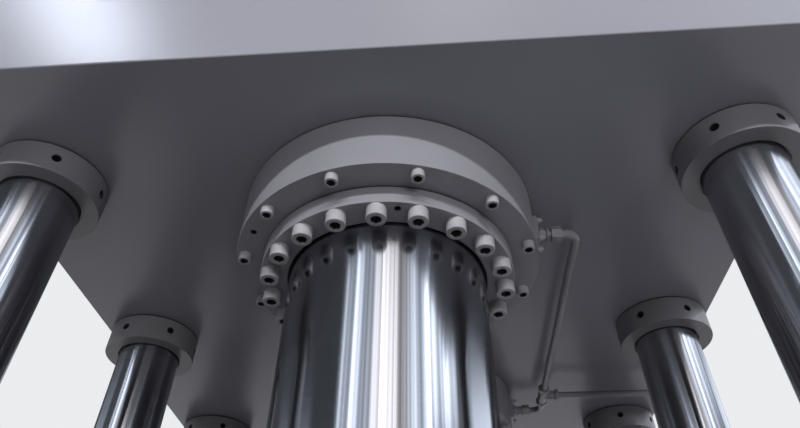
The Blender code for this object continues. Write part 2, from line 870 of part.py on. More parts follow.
bed()
bolster()
columns()
inner_nuts()
outer_nuts()
crown()
cylinders()
glands()
packings()
ring_nuts()
heads()
rams()
ram_clamps()
slide()
guide_bushes()
port_blocks()
rod_side_pipes()
valve_block()
head_pipes()

# The moving pieces hang from one empty on the axis of the stroke
stroke_axis = bpy.data.objects.new("stroke_axis", None)
slide_parts.objects.link(stroke_axis)
stroke_axis.location = (0.0, 0.0, slide_bottom)
bpy.context.view_layer.update()
for piece in slide_parts.objects:
    if piece is not stroke_axis:
        piece.parent = stroke_axis
        piece.matrix_parent_inverse = stroke_axis.matrix_world.inverted()
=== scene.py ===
# %% [markdown]
# # Dressing a column press
#
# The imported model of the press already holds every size, every seat and the stroke of the slide. This
# notebook gives it the surface that one sees on looking up from the die space: turned rings with softly
# broken edges, socket screws, grey machine enamel, ground chrome, and a plain studio around it.
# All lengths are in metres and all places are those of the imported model.

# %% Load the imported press
import math

import bmesh
import bpy
from mathutils import Matrix, Vector


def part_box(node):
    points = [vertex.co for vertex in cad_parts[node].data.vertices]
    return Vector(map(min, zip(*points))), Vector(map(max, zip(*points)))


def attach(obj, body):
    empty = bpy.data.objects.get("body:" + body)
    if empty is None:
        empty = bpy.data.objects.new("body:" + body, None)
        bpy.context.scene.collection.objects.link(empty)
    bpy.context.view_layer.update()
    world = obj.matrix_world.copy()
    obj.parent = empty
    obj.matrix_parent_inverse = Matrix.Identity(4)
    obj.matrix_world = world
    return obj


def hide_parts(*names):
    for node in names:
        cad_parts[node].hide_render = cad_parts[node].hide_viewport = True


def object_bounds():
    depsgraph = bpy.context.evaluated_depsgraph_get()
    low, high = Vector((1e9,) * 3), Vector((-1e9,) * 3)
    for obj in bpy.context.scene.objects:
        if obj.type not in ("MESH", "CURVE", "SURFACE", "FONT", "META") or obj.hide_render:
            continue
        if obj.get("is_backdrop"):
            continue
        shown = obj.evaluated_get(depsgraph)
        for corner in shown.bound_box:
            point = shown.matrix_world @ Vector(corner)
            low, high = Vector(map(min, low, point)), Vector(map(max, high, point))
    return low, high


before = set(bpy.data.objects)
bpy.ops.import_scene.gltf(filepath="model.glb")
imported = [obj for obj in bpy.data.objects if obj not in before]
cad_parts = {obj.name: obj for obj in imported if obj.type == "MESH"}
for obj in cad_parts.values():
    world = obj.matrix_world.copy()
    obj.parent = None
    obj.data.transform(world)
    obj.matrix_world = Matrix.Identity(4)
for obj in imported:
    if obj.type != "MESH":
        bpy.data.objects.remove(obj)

model_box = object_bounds()
print("size:", [round(high - low, 3) for low, high in zip(*model_box)])

# %% [markdown]
# ## The camera
#
# The photograph looks steeply up from between the columns with a fairly wide lens. Its place and its
# angles come from fitting the circles of the ram, the gland, the flange and the nuts, so here they are
# plain values. The turn is built in the order in which a tripod is set: swing it, tilt it up, then level
# the camera.

# %% Camera
lens_mm = 28.30
sensor_mm = 36.0
camera_place = Vector((0.1243, -1.7778, 1.5804))
camera_swing = math.radians(4.32)
camera_tilt = math.radians(90.0 + 42.46)
camera_level = math.radians(0.49)

camera_data = bpy.data.cameras.new("photo_camera")
camera_data.lens = lens_mm
camera_data.sensor_width = sensor_mm
camera = bpy.data.objects.new("photo_camera", camera_data)
bpy.context.scene.collection.objects.link(camera)
camera_turn = (
    Matrix.Rotation(camera_swing, 4, "Z")
    @ Matrix.Rotation(camera_tilt, 4, "X")
    @ Matrix.Rotation(camera_level, 4, "Z")
)
camera.matrix_world = Matrix.Translation(camera_place) @ camera_turn
bpy.context.scene.camera = camera
print("camera looks up by", round(math.degrees(camera_tilt) - 90.0, 1), "degrees")

# %% [markdown]
# ## A bench of small tools
#
# Nearly everything on a press is turned, milled or bent. Three tools cover that: one that rounds the
# corners of an outline, one that turns the outline about an axis, and one that cuts a mesh with another.
# Real machined edges are always broken by a millimetre or two, and that small round is what catches the
# light, so the rounding is part of the outline from the start and not an afterthought.

# %% Rounded outlines
arc_steps = 4

# how far an edge is broken, from the lip of a seal to a heavy plate
sharp_edge = 0.0005
fine_edge = 0.001
soft_edge = 0.002
round_edge = 0.003
broad_edge = 0.004
heavy_edge = 0.006


def rounded(corners):
    """Turns (radius, height, rounding) corners into an outline with an arc at each rounded one."""
    outline = []
    for number, (radius, height, rounding) in enumerate(corners):
        here = Vector((radius, height))
        if rounding == 0:
            outline.append(here)
            continue
        toward = (Vector(corners[number - 1][:2]) - here).normalized()
        away = (Vector(corners[(number + 1) % len(corners)][:2]) - here).normalized()
        half = toward.angle(away) / 2
        centre = here + (toward + away).normalized() * rounding / math.sin(half)
        start = here + toward * rounding / math.tan(half) - centre
        end = here + away * rounding / math.tan(half) - centre
        sweep = start.angle(end)
        for step in range(arc_steps + 1):
            first = math.sin((1 - step / arc_steps) * sweep)
            second = math.sin(step / arc_steps * sweep)
            outline.append(centre + (start * first + end * second) / math.sin(sweep))
    return outline


square = rounded([(0, 0, 0), (1, 0, 0), (1, 1, 0.1), (0, 1, 0)])
print("a square with one rounded corner has", len(square), "points")

# %% Turning an outline about the Z axis
weld_distance = 0.00001
drill_steps = 24
coarse_steps = 48
fine_steps = 96
ram_steps = 160


def to_mesh(bm, name="work"):
    mesh = bpy.data.meshes.new(name)
    bm.to_mesh(mesh)
    bm.free()
    return mesh


def turned(corners, steps=fine_steps, closed=True):
    """A turned piece: a closed outline makes a ring, an open one that ends on the axis a solid."""
    bm = bmesh.new()
    points = [bm.verts.new((radius, 0.0, height)) for radius, height in rounded(corners)]
    ends = points[1:] + points[:1] if closed else points[1:]
    edges = [bm.edges.new(pair) for pair in zip(points, ends)]
    bmesh.ops.spin(
        bm, geom=points + edges, axis=(0, 0, 1), cent=(0, 0, 0), angle=math.tau, steps=steps, use_merge=True
    )
    bmesh.ops.remove_doubles(bm, verts=bm.verts, dist=weld_distance)
    bmesh.ops.recalc_face_normals(bm, faces=bm.faces)
    return to_mesh(bm)


print("steps round a piece:", drill_steps, coarse_steps, fine_steps, ram_steps)

# %% Blocks and bars
edge_rounds = 3


def block(low, high, rounding=0.0):
    """A box between two corners, its edges rounded."""
    low, high = Vector(low), Vector(high)
    bm = bmesh.new()
    bmesh.ops.create_cube(bm, size=1.0)
    bmesh.ops.scale(bm, vec=high - low, verts=bm.verts)
    bmesh.ops.translate(bm, vec=(low + high) / 2, verts=bm.verts)
    if rounding:
        bmesh.ops.bevel(
            bm, geom=bm.edges, offset=rounding, segments=edge_rounds, profile=0.5, affect="EDGES"
        )
    return to_mesh(bm)


def bar(radius, start, end, sides=coarse_steps):
    """A round bar, or with six sides a hexagon bar, from one point to another."""
    start, end = Vector(start), Vector(end)
    bm = bmesh.new()
    turn = Vector((0, 0, 1)).rotation_difference(end - start).to_matrix().to_4x4()
    bmesh.ops.create_cone(
        bm, cap_ends=True, segments=sides, radius1=radius, radius2=radius,
        depth=(end - start).length, matrix=Matrix.Translation((start + end) / 2) @ turn,
    )
    return to_mesh(bm)


print("faces across a block's rounded edge:", edge_rounds)

# %% Joining and cutting
def joined(meshes):
    """Several meshes as one, each still a body of its own, with the materials of the first."""
    bm = bmesh.new()
    for mesh in meshes:
        bm.from_mesh(mesh)
    whole = to_mesh(bm)
    for used in meshes[0].materials:
        whole.materials.append(used)
    return whole


def placed(mesh, *matrices):
    """Copies of a mesh, one for each matrix, as one mesh."""
    copies = []
    for matrix in matrices:
        copy = mesh.copy()
        copy.transform(matrix)
        copies.append(copy)
    return joined(copies)


def cut(mesh, *tools, operation="DIFFERENCE"):
    """The mesh with each tool cut out of it, or joined on, by an exact Boolean.

    A face that a tool leaves takes the tool's own material, if it has one.
    """
    body = bpy.data.objects.new("work", mesh)
    helpers = [body]
    for tool in tools:
        helper = bpy.data.objects.new("tool", tool)
        helpers.append(helper)
        boolean = body.modifiers.new("Cut", "BOOLEAN")
        boolean.operation = operation
        boolean.solver = "EXACT"
        boolean.material_mode = "TRANSFER"
        boolean.object = helper
    for helper in helpers:
        bpy.context.scene.collection.objects.link(helper)
    graph = bpy.context.evaluated_depsgraph_get()
    result = bpy.data.meshes.new_from_object(body.evaluated_get(graph))
    for helper in helpers:
        bpy.data.objects.remove(helper)
    return result


def in_finish(mesh, material):
    """The mesh with this one material."""
    mesh.materials.clear()
    mesh.materials.append(material)
    return mesh


drilled = cut(block((0, 0, 0), (1, 1, 1)), bar(0.2, (0.5, 0.5, -0.1), (0.5, 0.5, 1.1)))
print("a drilled cube has", len(drilled.polygons), "faces")

# %% [markdown]
# ## Handing a piece over
#
# A finished piece is shaded smooth with crisp edges where faces meet steeply. A Weighted Normal modifier
# keeps the large flat faces flat right up to their rounded edges; without it every plate would look
# slightly inflated. The piece then rides on the body that carries it and stands for its plain solid. Where
# a piece has its finishes already, as one with near-black drilled holes of painted shade does, None is given
# as its material.

# %% Handing over
crisp_angle = math.radians(38)


def hand_over(name, mesh, material, body, slot, *nodes):
    mesh.shade_smooth()
    mesh.set_sharp_from_angle(angle=crisp_angle)
    holder = bpy.data.objects.new("work", mesh)
    bpy.context.scene.collection.objects.link(holder)
    weighted = holder.modifiers.new("Flat faces", "WEIGHTED_NORMAL")
    weighted.keep_sharp = True
    graph = bpy.context.evaluated_depsgraph_get()
    final = bpy.data.meshes.new_from_object(holder.evaluated_get(graph))
    bpy.data.objects.remove(holder)
    final.name = name
    if material:
        in_finish(final, material)
    piece = bpy.data.objects.new(name, final)
    bpy.context.scene.collection.objects.link(piece)
    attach(piece, body)
    if nodes:
        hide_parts(*nodes)
    print(f"{name}: {len(final.polygons)} faces on {body}")


def set_down(name, mesh, place, *rest):
    """Hands over a copy of the mesh, set down at a place."""
    hand_over(name, placed(mesh, Matrix.Translation(place)), *rest)


print("edges stay crisp from", round(math.degrees(crisp_angle)), "degrees")

# %% [markdown]
# ## One function for nodes
#
# Shader trees and Geometry Nodes trees are both nodes and links. This helper adds one node, sets its
# options, and for each input takes either a value or the output of another node, which reads like a sum.

# %% Nodes
def node(tree, kind, inputs=None, **settings):
    made = tree.nodes.new(kind)
    for key, value in settings.items():
        setattr(made, key, value)
    for key, value in (inputs or {}).items():
        if isinstance(value, bpy.types.NodeSocket):
            tree.links.new(value, made.inputs[key])
        else:
            made.inputs[key].default_value = value
    return made


def maths(tree, operation, first, second=0.0):
    return node(tree, "ShaderNodeMath", {0: first, 1: second}, operation=operation).outputs[0]


def scaled(tree, colour, factor):
    return node(tree, "ShaderNodeVectorMath", {0: colour, "Scale": factor}, operation="SCALE").outputs[0]


def blend(tree, factor, first, second):
    """Two colours mixed: the first at factor 0, the second at 1."""
    return node(tree, "ShaderNodeMix", {0: factor, 6: first, 7: second}, data_type="RGBA").outputs[2]


def ramp(tree, value, start, end, low, high, kind="SMOOTHSTEP"):
    """Goes from low to high while the value goes from start to end."""
    return node(
        tree, "ShaderNodeMapRange",
        {"Value": value, "From Min": start, "From Max": end, "To Min": low, "To Max": high},
        interpolation_type=kind,
    ).outputs[0]


def new_group(name, kind, inputs, outputs):
    """An empty node group with its sockets, and the nodes where they enter and leave."""
    tree = bpy.data.node_groups.new(name, kind)
    for label, socket_type, value in inputs:
        socket = tree.interface.new_socket(name=label, in_out="INPUT", socket_type=socket_type)
        if value is not None:
            socket.default_value = value
    for label, socket_type in outputs:
        tree.interface.new_socket(name=label, in_out="OUTPUT", socket_type=socket_type)
    entry = tree.nodes.new("NodeGroupInput")
    leave = tree.nodes.new("NodeGroupOutput")
    return tree, entry, leave


print("helpers for nodes: one node, a sum, a scaled colour, a blend, a ramp and an empty group")

# %% [markdown]
# ## The enamel's skin
#
# Machine enamel is rolled or sprayed on thick. Close up it has a faint orange peel, from a step away its
# tone wanders a little where the coat is thicker, and on faces that look up there is fine dust. The
# effect is used by every painted material, so it is a group that puts out a colour, a roughness and a
# height; the shader itself stays in each material.

# %% Enamel group
noise_gain = 4.0  # most of a noise lies within a quarter of its middle, and this widens it
patch_span = (0.25, 0.75)
dust_colour = (0.46, 0.45, 0.43, 1.0)
dust_slope = (0.55, 0.98)  # how far a face looks up where dust starts to lie, and where all of it stays
dust_dullness = 0.8


def toned(tree, colour, noise, swing):
    """The colour made lighter and darker by a noise."""
    off = maths(tree, "MULTIPLY", maths(tree, "SUBTRACT", noise, 0.5), swing)
    return scaled(tree, colour, maths(tree, "ADD", maths(tree, "MULTIPLY", off, noise_gain), 1.0))


def enamel_group():
    tree, entry, leave = new_group(
        "Enamel skin", "ShaderNodeTree",
        (
            ("Colour", "NodeSocketColor", (0.3, 0.3, 0.32, 1.0)),
            ("Peel Scale", "NodeSocketFloat", 260.0),
            ("Patch Scale", "NodeSocketFloat", 2.2),
            ("Patchiness", "NodeSocketFloat", 0.10),
            ("Gloss Low", "NodeSocketFloat", 0.34),
            ("Gloss High", "NodeSocketFloat", 0.48),
            ("Dust", "NodeSocketFloat", 0.15),
        ),
        (("Colour", "NodeSocketColor"), ("Roughness", "NodeSocketFloat"), ("Height", "NodeSocketFloat")),
    )
    place = node(tree, "ShaderNodeTexCoord").outputs["Object"]
    patches = node(
        tree, "ShaderNodeTexNoise",
        {"Vector": place, "Scale": entry.outputs["Patch Scale"], "Detail": 1.0, "Roughness": 0.4},
    ).outputs["Fac"]
    peel = node(
        tree, "ShaderNodeTexNoise",
        {"Vector": place, "Scale": entry.outputs["Peel Scale"], "Detail": 3.0, "Roughness": 0.55},
    ).outputs["Fac"]
    coat = toned(tree, entry.outputs["Colour"], patches, entry.outputs["Patchiness"])
    normal = node(tree, "ShaderNodeNewGeometry").outputs["Normal"]
    upward = node(tree, "ShaderNodeSeparateXYZ", {0: normal}).outputs["Z"]
    level = ramp(tree, upward, *dust_slope, 0.0, 1.0, "LINEAR")
    settled = maths(tree, "MULTIPLY", maths(tree, "MULTIPLY", level, patches), entry.outputs["Dust"])
    gloss = ramp(tree, patches, *patch_span, entry.outputs["Gloss Low"], entry.outputs["Gloss High"])
    dulled = maths(tree, "ADD", gloss, maths(tree, "MULTIPLY", settled, dust_dullness))
    tree.links.new(blend(tree, settled, coat, dust_colour), leave.inputs["Colour"])
    tree.links.new(dulled, leave.inputs["Roughness"])
    tree.links.new(peel, leave.inputs["Height"])
    return tree


enamel_skin = enamel_group()
print("enamel group:", len(enamel_skin.nodes), "nodes")

# %% [markdown]
# ## Tool marks
#
# Grinding, turning and milling leave fine parallel lines. A noise that is squeezed along one direction
# and stretched along the others gives such lines on any piece, whatever its shape. The stretch is an
# input, so one group serves chrome bars ground round their axis and plates ground lengthwise.

# %% Tool mark group
mark_span = (0.35, 0.65)


def tool_mark_group():
    tree, entry, leave = new_group(
        "Tool marks", "ShaderNodeTree",
        (
            ("Colour", "NodeSocketColor", (0.7, 0.7, 0.7, 1.0)),
            ("Stretch", "NodeSocketVector", (6.0, 6.0, 900.0)),
            ("Smear Scale", "NodeSocketFloat", 3.0),
            ("Tone Swing", "NodeSocketFloat", 0.06),
            ("Gloss Low", "NodeSocketFloat", 0.05),
            ("Gloss High", "NodeSocketFloat", 0.12),
        ),
        (("Colour", "NodeSocketColor"), ("Roughness", "NodeSocketFloat"), ("Height", "NodeSocketFloat")),
    )
    place = node(tree, "ShaderNodeTexCoord").outputs["Object"]
    squeezed = node(
        tree, "ShaderNodeVectorMath", {0: place, 1: entry.outputs["Stretch"]}, operation="MULTIPLY"
    ).outputs[0]
    lines = node(tree, "ShaderNodeTexNoise", {"Vector": squeezed, "Scale": 1.0, "Detail": 3.0}).outputs["Fac"]
    smear = node(
        tree, "ShaderNodeTexNoise",
        {"Vector": place, "Scale": entry.outputs["Smear Scale"], "Detail": 4.0, "Roughness": 0.6},
    ).outputs["Fac"]
    mixed = maths(tree, "MULTIPLY", maths(tree, "ADD", lines, smear), 0.5)
    gloss = ramp(tree, mixed, *mark_span, entry.outputs["Gloss Low"], entry.outputs["Gloss High"], "LINEAR")
    shade = toned(tree, entry.outputs["Colour"], mixed, entry.outputs["Tone Swing"])
    tree.links.new(shade, leave.inputs["Colour"])
    tree.links.new(gloss, leave.inputs["Roughness"])
    tree.links.new(lines, leave.inputs["Height"])
    return tree


tool_marks = tool_mark_group()
print("tool mark group:", len(tool_marks.nodes), "nodes")

# %% [markdown]
# ## The finishes
#
# Each finish is one Principled shader. Colour, roughness and height come from a group; what is the same
# all over, such as the metallic value or the coat, is set on the shader's own socket.

# %% How a finish is made
peel_strength, peel_depth = 0.12, 0.0006
mark_depth = 0.0002


def finish(name, group, values, bump_strength, bump_depth, **constants):
    """A material: one group feeds a Principled shader, whose constant sockets are set by name."""
    made = bpy.data.materials.new(name)
    made.use_nodes = True
    tree = made.node_tree
    shader = tree.nodes["Principled BSDF"]
    skin = node(tree, "ShaderNodeGroup", node_tree=group)
    for key, value in values.items():
        skin.inputs[key].default_value = value
    tree.links.new(skin.outputs["Colour"], shader.inputs["Base Color"])
    tree.links.new(skin.outputs["Roughness"], shader.inputs["Roughness"])
    bump = node(
        tree, "ShaderNodeBump",
        {"Strength": bump_strength, "Distance": bump_depth, "Height": skin.outputs["Height"]},
    )
    tree.links.new(bump.outputs["Normal"], shader.inputs["Normal"])
    for key, value in constants.items():
        shader.inputs[key.replace("_", " ")].default_value = value
    return made


def enamel(name, colour, **values):
    settings = {key.replace("_", " ").title(): value for key, value in values.items()}
    settings["Colour"] = (*colour, 1.0)
    return finish(
        name, enamel_skin, settings, peel_strength, peel_depth, Metallic=0.0, Coat_Weight=0.12,
        Coat_Roughness=0.22,
    )


def metal(name, colour, bump_strength, metallic=1.0, smear=0.0, **values):
    """A bare metal. Smear is its anisotropy, turned a quarter so that light is drawn out along the bar."""
    settings = {key.replace("_", " ").title(): value for key, value in values.items()}
    settings["Colour"] = (*colour, 1.0)
    return finish(
        name, tool_marks, settings, bump_strength, mark_depth, Metallic=metallic, Anisotropic=smear,
        Anisotropic_Rotation=0.25,
    )


print("peel is", peel_depth * 1000, "mm deep, tool marks", mark_depth * 1000, "mm")

# %% Finishes
crown_enamel = enamel(
    "crown_enamel", (0.272, 0.272, 0.302), patch_scale=2.2, patchiness=0.04, gloss_low=0.285, gloss_high=0.33
)
machine_enamel = enamel("machine_enamel", (0.285, 0.283, 0.304), patch_scale=5.0, patchiness=0.06)
nut_enamel = enamel("nut_enamel", (0.212, 0.208, 0.218), patch_scale=8.0, patchiness=0.08)
screw_enamel = enamel(
    "screw_enamel", (0.400, 0.400, 0.412), patch_scale=30.0, patchiness=0.08, peel_scale=600.0, dust=0.05
)
pipe_enamel = enamel("pipe_enamel", (0.270, 0.270, 0.280), patch_scale=14.0, patchiness=0.09)
ram_chrome = metal(
    "ram_chrome", (0.50, 0.51, 0.535), 0.02, smear=1.0, stretch=(5.0, 5.0, 500.0), tone_swing=0.03,
    gloss_low=0.092, gloss_high=0.125,
)
column_chrome = metal(
    "column_chrome", (0.50, 0.51, 0.535), 0.02, smear=1.0, stretch=(5.0, 5.0, 500.0), tone_swing=0.05,
    gloss_low=0.125, gloss_high=0.160,
)
ground_steel = metal(
    "ground_plate", (0.60, 0.61, 0.62), 0.10, stretch=(700.0, 9.0, 9.0), tone_swing=0.10,
    gloss_low=0.38, gloss_high=0.48,
)
turned_bronze = metal(
    "bearing_bronze", (0.56, 0.36, 0.17), 0.10, stretch=(9.0, 9.0, 900.0), tone_swing=0.10,
    gloss_low=0.26, gloss_high=0.38,
)
milled_block = metal(
    "milled_block", (0.36, 0.37, 0.38), 0.12, metallic=0.9, stretch=(500.0, 9.0, 9.0), tone_swing=0.12,
    gloss_low=0.34, gloss_high=0.46,
)
# Black oxide is the real finish of the bare screws; inside sockets and drilled holes it is also painted
# shade, darker than bare steel.
black_oxide = metal(
    "black_oxide", (0.055, 0.053, 0.052), 0.08, metallic=0.5, stretch=(300.0, 300.0, 300.0), tone_swing=0.12,
    gloss_low=0.45, gloss_high=0.60,
)
# Black rubber for the packings; the same finish on the beads in the grooves is painted shade.
seal_rubber = metal(
    "seal_rubber", (0.020, 0.020, 0.022), 0.06, metallic=0.0, stretch=(12.0, 12.0, 700.0), tone_swing=0.10,
    gloss_low=0.42, gloss_high=0.60,
)
print("finishes:", [m.name for m in bpy.data.materials if m.users == 0])

# %% [markdown]
# ## Socket screws
#
# The glands are held by circles of socket-head screws, and so are clamps, heads and blocks. Their sizes
# are standard, so one table serves them all: head diameter and height, width across the socket's flats
# and its depth. The head is turned, then the hexagon is cut, and the faces inside the socket are marked
# with an attribute so that they stay near black while the head is painted with the machine: bare steel with
# painted shade on it.

# %% Screw models
screw_sizes = {
    "M30": (0.045, 0.0300, 0.022, 0.0150),
    "M24": (0.036, 0.0240, 0.019, 0.0120),
    "M20": (0.030, 0.0200, 0.017, 0.0100),
    "M12": (0.018, 0.0120, 0.010, 0.0060),
    "M10": (0.016, 0.0100, 0.008, 0.0050),
}
screw_steps = 32
head_round_share = 0.055

# shares of the width across the flats: the mouth that is countersunk into the socket, and its inside
mouth_top_share, mouth_foot_share, mouth_depth_share = 0.78, 0.53, 0.06
inside_share, inside_depth_share = 0.6, 0.03


def socket_screw(size):
    """A screw head on its seat at height 0, kept out of the render as a pattern for copies."""
    diameter, height, across, depth = screw_sizes[size]
    radius, rounding = diameter / 2, diameter * head_round_share
    head = turned(
        [(0, height, 0), (radius, height, rounding), (radius, 0, 0), (0, 0, 0)],
        steps=screw_steps, closed=False,
    )
    mouth_foot = height - across * mouth_depth_share
    mouth = turned(
        [(0, height + depth, 0), (across * mouth_top_share, height + depth, 0),
         (across * mouth_foot_share, mouth_foot, 0), (0, mouth_foot, 0)],
        steps=screw_steps, closed=False,
    )
    hexagon = bar(across / math.sqrt(3), (0, 0, height - depth), (0, 0, height + depth), sides=6)
    mesh = cut(head, mouth, hexagon)
    mesh.name = f"screw_{size}"
    inside = mesh.attributes.new("inside", "BOOLEAN", "FACE")
    for face in mesh.polygons:
        middle = face.center
        near_axis = math.hypot(middle.x, middle.y) < across * inside_share
        inside.data[face.index].value = near_axis and 0 < middle.z < height - across * inside_depth_share
    pattern = bpy.data.objects.new(mesh.name, mesh)
    mesh.shade_smooth()
    mesh.set_sharp_from_angle(angle=crisp_angle)
    return pattern


screws = {size: socket_screw(size) for size in screw_sizes}
print({size: len(pattern.data.polygons) for size, pattern in screws.items()})

# %% [markdown]
# ## A ring of screws with Geometry Nodes
#
# Twenty screws on a circle are one rule, so a node tree makes them: each point's number gives its angle,
# each point gets an instance of the pattern, and a random turn with a fixed seed lets every socket stop at
# its own angle, as a torque wrench leaves them. A Mesh Circle node would need at least three points; plain
# points also serve a single screw. The instances are made real at the end, because an exported mesh can't
# hold instances, and the last two nodes paint heads and sockets.

# %% Ring tree
def finished(tree, geometry, material):
    """The nodes that end each tree here: instances made real, and a material set."""
    real = node(tree, "GeometryNodeRealizeInstances", {"Geometry": geometry})
    return node(
        tree, "GeometryNodeSetMaterial", {"Geometry": real.outputs["Geometry"], "Material": material}
    ).outputs["Geometry"]


def ring_tree():
    tree, entry, leave = new_group(
        "Ring of screws", "GeometryNodeTree",
        (
            ("Screw", "NodeSocketObject", None),
            ("Count", "NodeSocketInt", 6),
            ("Ring Radius", "NodeSocketFloat", 0.1),
            ("First Angle", "NodeSocketFloat", 0.0),
            ("Seed", "NodeSocketInt", 1),
            ("Head Finish", "NodeSocketMaterial", None),
            ("Socket Finish", "NodeSocketMaterial", None),
        ),
        (("Screws", "NodeSocketGeometry"),),
    )
    number = node(tree, "GeometryNodeInputIndex").outputs["Index"]
    share = maths(tree, "DIVIDE", number, entry.outputs["Count"])
    angle = maths(tree, "ADD", maths(tree, "MULTIPLY", share, math.tau), entry.outputs["First Angle"])
    place = node(
        tree, "ShaderNodeCombineXYZ",
        {"X": maths(tree, "MULTIPLY", maths(tree, "COSINE", angle), entry.outputs["Ring Radius"]),
         "Y": maths(tree, "MULTIPLY", maths(tree, "SINE", angle), entry.outputs["Ring Radius"])},
    ).outputs["Vector"]
    spots = node(tree, "GeometryNodePoints", {"Count": entry.outputs["Count"], "Position": place})
    pattern = node(tree, "GeometryNodeObjectInfo", {"Object": entry.outputs["Screw"]})
    chance = node(
        tree, "FunctionNodeRandomValue", {2: 0.0, 3: math.tau, "Seed": entry.outputs["Seed"]},
        data_type="FLOAT",
    )
    spin = node(tree, "ShaderNodeCombineXYZ", {"Z": chance.outputs[1]})
    copies = node(
        tree, "GeometryNodeInstanceOnPoints",
        {"Points": spots.outputs["Points"], "Instance": pattern.outputs["Geometry"],
         "Rotation": spin.outputs["Vector"]},
    )
    painted = finished(tree, copies.outputs["Instances"], entry.outputs["Head Finish"])
    inside = node(tree, "GeometryNodeInputNamedAttribute", {"Name": "inside"}, data_type="BOOLEAN")
    done = node(
        tree, "GeometryNodeSetMaterial",
        {"Geometry": painted, "Selection": inside.outputs["Attribute"],
         "Material": entry.outputs["Socket Finish"]},
    )
    tree.links.new(done.outputs["Geometry"], leave.inputs["Screws"])
    return tree


screw_ring = ring_tree()
print("ring tree:", len(screw_ring.nodes), "nodes")

# %% Running a tree
def grown(tree, values):
    """Runs a Geometry Nodes tree by itself and returns the plain mesh that it makes."""
    holder = bpy.data.objects.new("work", bpy.data.meshes.new("work"))
    bpy.context.scene.collection.objects.link(holder)
    modifier = holder.modifiers.new("Tree", "NODES")
    modifier.node_group = tree
    sockets = {item.name: item.identifier for item in tree.interface.items_tree if item.in_out == "INPUT"}
    for key, value in values.items():
        modifier[sockets[key]] = value
    graph = bpy.context.evaluated_depsgraph_get()
    mesh = bpy.data.meshes.new_from_object(holder.evaluated_get(graph))
    bpy.data.objects.remove(holder)
    return mesh


def facing(direction, *centres):
    """Matrices that put a ring which was made round Z at each centre, facing along the direction."""
    turn = Vector((0, 0, 1)).rotation_difference(Vector(direction)).to_matrix().to_4x4()
    return [Matrix.Translation(centre) @ turn for centre in centres]


def half_step(count):
    """Half the angle between two of so many screws on a circle."""
    return math.pi / count


def ring_of_screws(
    name, size, count, radius, first_angle, matrices, body, head_finish, slot="frame_paint", seed=1
):
    # The socket faces get the near-black finish: bare steel with painted shade.
    mesh = grown(screw_ring, {
        "Screw": screws[size], "Count": count, "Ring Radius": radius, "First Angle": first_angle,
        "Seed": seed, "Head Finish": head_finish, "Socket Finish": black_oxide,
    })
    hand_over(name, placed(mesh, *matrices), None, body, slot)


ring_inputs = [item.name for item in screw_ring.interface.items_tree if item.in_out == "INPUT"]
print("inputs of the ring:", ring_inputs)

# %% [markdown]
# ## The columns
#
# Six ground and chromed bars carry the crown. Each has a shoulder that stands on the bed, and threads at
# both ends; only a few turns of thread show past the outer nuts. A thread seen from the side is a row of
# grooves, so the outline simply zigzags there. The hole in the top end takes a lifting eye.

# %% Columns
seat_gap = 0.0003
shoulder_height = 0.066
thread_pitch = 0.006
thread_depth = 0.0035
thread_turns = 5
end_chamfer = 0.004
centre_radius, centre_depth, centre_sink = 0.012, 0.035, 0.003
column_places = {
    name.removeprefix("column_"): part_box(name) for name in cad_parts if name.startswith("column_")
}


def box_middle(low, high):
    return Vector(((low.x + high.x) / 2, (low.y + high.y) / 2, 0.0))


def thread_outline(radius, start, direction):
    """Zigzag corners for the turns of a thread, from one height towards an end."""
    corners = []
    for turn in range(thread_turns):
        base = start + direction * turn * thread_pitch
        corners.append((radius, base, 0))
        corners.append((radius - thread_depth, base + direction * thread_pitch / 2, 0))
    return corners


low, high = column_places["front_left"]
shoulder_radius = (high.x - low.x) / 2
column_radius = 0.092
shoulder_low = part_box("bolster")[0].z
shoulder_high = shoulder_low + shoulder_height
thread_run = thread_turns * thread_pitch
column_outline = (
    [(0, high.z - centre_depth, 0), (centre_radius, high.z - centre_depth, 0)]
    + [(centre_radius, high.z - centre_sink, 0), (centre_radius + centre_sink, high.z, 0)]
    + [(column_radius - end_chamfer, high.z, 0)]
    + thread_outline(column_radius, high.z - thread_run, 1)[::-1]
    + [(column_radius, shoulder_high, soft_edge), (shoulder_radius, shoulder_high, round_edge)]
    + [(shoulder_radius, shoulder_low, soft_edge), (column_radius, shoulder_low, 0)]
    + thread_outline(column_radius, low.z + thread_run, -1)
    + [(column_radius - end_chamfer, low.z, 0), (0, low.z, 0)]
)
column_mesh = turned(column_outline, steps=fine_steps, closed=False)
for name, corners in column_places.items():
    set_down(
        f"column_bar_{name}", column_mesh, box_middle(*corners), column_chrome, "frame", "chrome",
        f"column_{name}",
    )

# %% [markdown]
# ## The round nuts
#
# The columns are held by plain round nuts with six tommy holes, in which a bar is put to turn them. The
# holes stand at half height and have a small countersink. Where a nut meets the plate its edge is turned
# back, so that it beds on clean metal, and a dark bead in this groove is painted shade that darkens the thin
# line that rings every nut, flange and gland. The rim of the bore is counterbored past the thread's first
# turn.

# %% Round nuts
relief_depth = 0.006
relief_height = 0.0045
bead_rounding = 0.0008
bead_inset = 0.0012
nut_clearance = 0.0018
nut_rounding = 0.0007
recess_width = 0.0030
recess_depth = 0.0060
tommy_radius = 0.010
tommy_depth = 0.028
tommy_sink = 0.0015
tommy_count = 6


def tommy_drill(surface):
    """A drill for one tommy hole, along +X, with its countersink at the nut's surface."""
    above = surface + 2 * tommy_sink
    drill = turned(
        [(0, surface - tommy_depth, 0), (tommy_radius, surface - tommy_depth, 0),
         (tommy_radius, surface - tommy_sink, 0), (tommy_radius + 3 * tommy_sink, above, 0), (0, above, 0)],
        steps=drill_steps, closed=False,
    )
    drill.transform(Matrix.Rotation(math.pi / 2, 4, "Y"))
    return drill


def relieved(radius, seat):
    """Corners of the groove that a piece gets where its upper edge meets the plate above it."""
    return [
        (radius - relief_depth, seat, 0), (radius - relief_depth, seat - relief_height, 0),
        (radius, seat - relief_height, sharp_edge),
    ]


